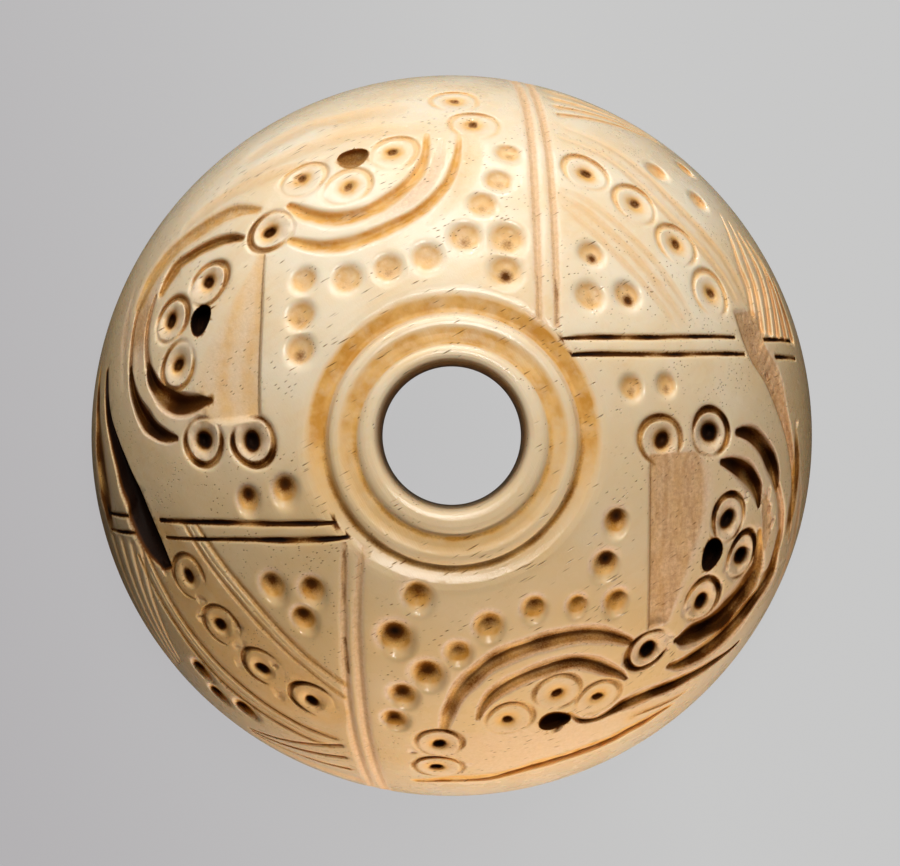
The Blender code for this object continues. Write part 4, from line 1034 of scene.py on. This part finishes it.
    # the shine of the hand polish is lost wherever the surface is stained, rough or under the dark
    # fill of dirt and painted shade
    worst = add("Math", "Value", [stain, rough], operation="MAXIMUM")
    worst = add("Math", "Value", [worst, soil_and_shade_share], operation="MAXIMUM")
    shine = add("MapRange", "Result", [worst, 0.0, 0.8, 0.50, 0.0])
    for socket, value in (
            ("Base Color", colour), ("Roughness", dullness), ("Normal", bump),
            ("Coat Normal", bump), ("Coat Weight", shine)):
        tree.links.new(value, shader.inputs[socket])
    shader.inputs["Coat Roughness"].default_value = 0.11
    shader.inputs["Specular IOR Level"].default_value = 0.12
    shader.inputs["IOR"].default_value = BONE_IOR
    shader.inputs["Subsurface Weight"].default_value = 0.20
    shader.inputs["Subsurface Radius"].default_value = (1.0, 0.50, 0.22)
    shader.inputs["Subsurface Scale"].default_value = 0.6 * MM
    return material


whorl_surface.materials.clear()
whorl_surface.materials.append(polished_bone())
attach(whorl, "root")
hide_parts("whorl")


# ------------------------------------------------------------------------------------------------
# The floor: a plain pale sheet that glows softly from within, like a lit copying table, a little
# dimmer toward one side, so that the loose whorl lies on it with hardly a shadow.
# ------------------------------------------------------------------------------------------------
FLOOR_HALF_WIDTH = 0.6
FLOOR_DIM = "#B1AFB1"
FLOOR_BRIGHT = "#C5C5C5"
# where along its direction the glow starts to rise and is full, metres
FLOOR_FADE = (-0.022, 0.006)
FLOOR_FADE_DIRECTION = (0.97, 0.25, 0.0)
FLOOR_BODY = (0.02, 0.02, 0.02, 1.0)

floor_mesh = bpy.data.meshes.new("floor")
floor_corners = [(-1, -1), (1, -1), (1, 1), (-1, 1)]
floor_mesh.from_pydata(
    [(x * FLOOR_HALF_WIDTH, y * FLOOR_HALF_WIDTH, 0.0) for x, y in floor_corners], [], [(0, 1, 2, 3)])
floor = bpy.data.objects.new("floor", floor_mesh)
bpy.context.scene.collection.objects.link(floor)
floor_material = bpy.data.materials.new("lit_floor")
floor_material.use_nodes = True
floor_tree = floor_material.node_tree
floor_place = add_node(floor_tree, "TexCoord", "Object", {})
across_floor = add_node(floor_tree, "VectorMath", "Value", [floor_place, FLOOR_FADE_DIRECTION],
                        operation="DOT_PRODUCT")
floor_share = add_node(floor_tree, "MapRange", "Result", [across_floor, *FLOOR_FADE])
floor_glow = add_node(floor_tree, "Mix", MIXED, {
    SHARE: floor_share, FIRST: linear(FLOOR_DIM), SECOND: linear(FLOOR_BRIGHT)}, data_type="RGBA")
floor_shader = floor_tree.nodes["Principled BSDF"]
floor_tree.links.new(floor_glow, floor_shader.inputs["Emission Color"])
floor_shader.inputs["Emission Strength"].default_value = 1.0
floor_shader.inputs["Base Color"].default_value = FLOOR_BODY
floor_shader.inputs["Roughness"].default_value = 1.0
floor_shader.inputs["Specular IOR Level"].default_value = 0.0
floor_mesh.materials.append(floor_material)
floor.visible_diffuse = False
floor.visible_glossy = False


# ------------------------------------------------------------------------------------------------
# The lights: a large soft box beyond the whorl and a smaller one high over it, and a low strip
# close by on each side that lights the upright part of its edge. The near strip would show as
# spots in the cuts, so it is kept out of the reflections. A dim warm surround fills the rest.
# ------------------------------------------------------------------------------------------------
def soft_box(name, bearing, elevation, distance, width, height, watts, colour):
    """An area light that faces the whorl from a bearing and an elevation in degrees, with its
    distance and its sides in metres."""
    data = bpy.data.lights.new(name, "AREA")
    data.shape = "RECTANGLE"
    data.size = width
    data.size_y = height
    data.energy = watts
    data.color = linear(colour)[:3]
    lamp = bpy.data.objects.new(name, data)
    turn = math.radians(bearing)
    rise = math.radians(elevation)
    lamp.location = (
        distance * math.cos(rise) * math.cos(turn),
        distance * math.cos(rise) * math.sin(turn),
        distance * math.sin(rise))
    lamp.rotation_euler = (math.pi / 2.0 - rise, 0.0, turn + math.pi / 2.0)
    bpy.context.scene.collection.objects.link(lamp)
    return lamp


# Bearing and elevation in degrees, distance, width and height in metres, watts and colour
LAMPS = {
    "key_box": (87.0, 24.0, 0.35, 0.24, 0.12, 0.45, "#FFFFFF"),
    "tall_box": (80.0, 68.0, 0.40, 0.16, 0.14, 1.18, "#FFFCF6"),
    "near_strip": (284.0, 1.0, 0.06, 0.045, 0.002, 0.037, "#FFF3EC"),
    "far_strip": (98.0, 1.0, 0.09, 0.10, 0.002, 0.036, "#FFFFFF"),
}
lamps = {name: soft_box(name, *settings) for name, settings in LAMPS.items()}
lamps["near_strip"].visible_glossy = False

SURROUND_COLOUR = "#FFE9C8"
SURROUND_STRENGTH = 0.052
world = bpy.data.worlds.new("surround")
world.use_nodes = True
surround = world.node_tree.nodes["Background"]
surround.inputs["Color"].default_value = linear(SURROUND_COLOUR)
surround.inputs["Strength"].default_value = SURROUND_STRENGTH
bpy.context.scene.world = world
bpy.context.scene.view_settings.view_transform = "Standard"


# ------------------------------------------------------------------------------------------------
# The camera: straight above the whorl, on the spindle hole's axis, with a long lens.
# ------------------------------------------------------------------------------------------------
CAMERA_HEIGHT = 0.2144
FOCAL_LENGTH = 205.5
SENSOR_WIDTH = 36.0
# how far the frame is moved off the axis, as shares of its width
FRAME_SHIFT = (-0.0019, 0.0029)
CLIP_RANGE = (0.01, 10.0)

camera_data = bpy.data.cameras.new("camera")
camera_data.lens = FOCAL_LENGTH
camera_data.sensor_width = SENSOR_WIDTH
camera_data.sensor_fit = "HORIZONTAL"
camera_data.shift_x, camera_data.shift_y = FRAME_SHIFT
camera_data.clip_start, camera_data.clip_end = CLIP_RANGE
camera = bpy.data.objects.new("camera", camera_data)
camera.location = (0.0, 0.0, CAMERA_HEIGHT)
bpy.context.scene.collection.objects.link(camera)
bpy.context.scene.camera = camera
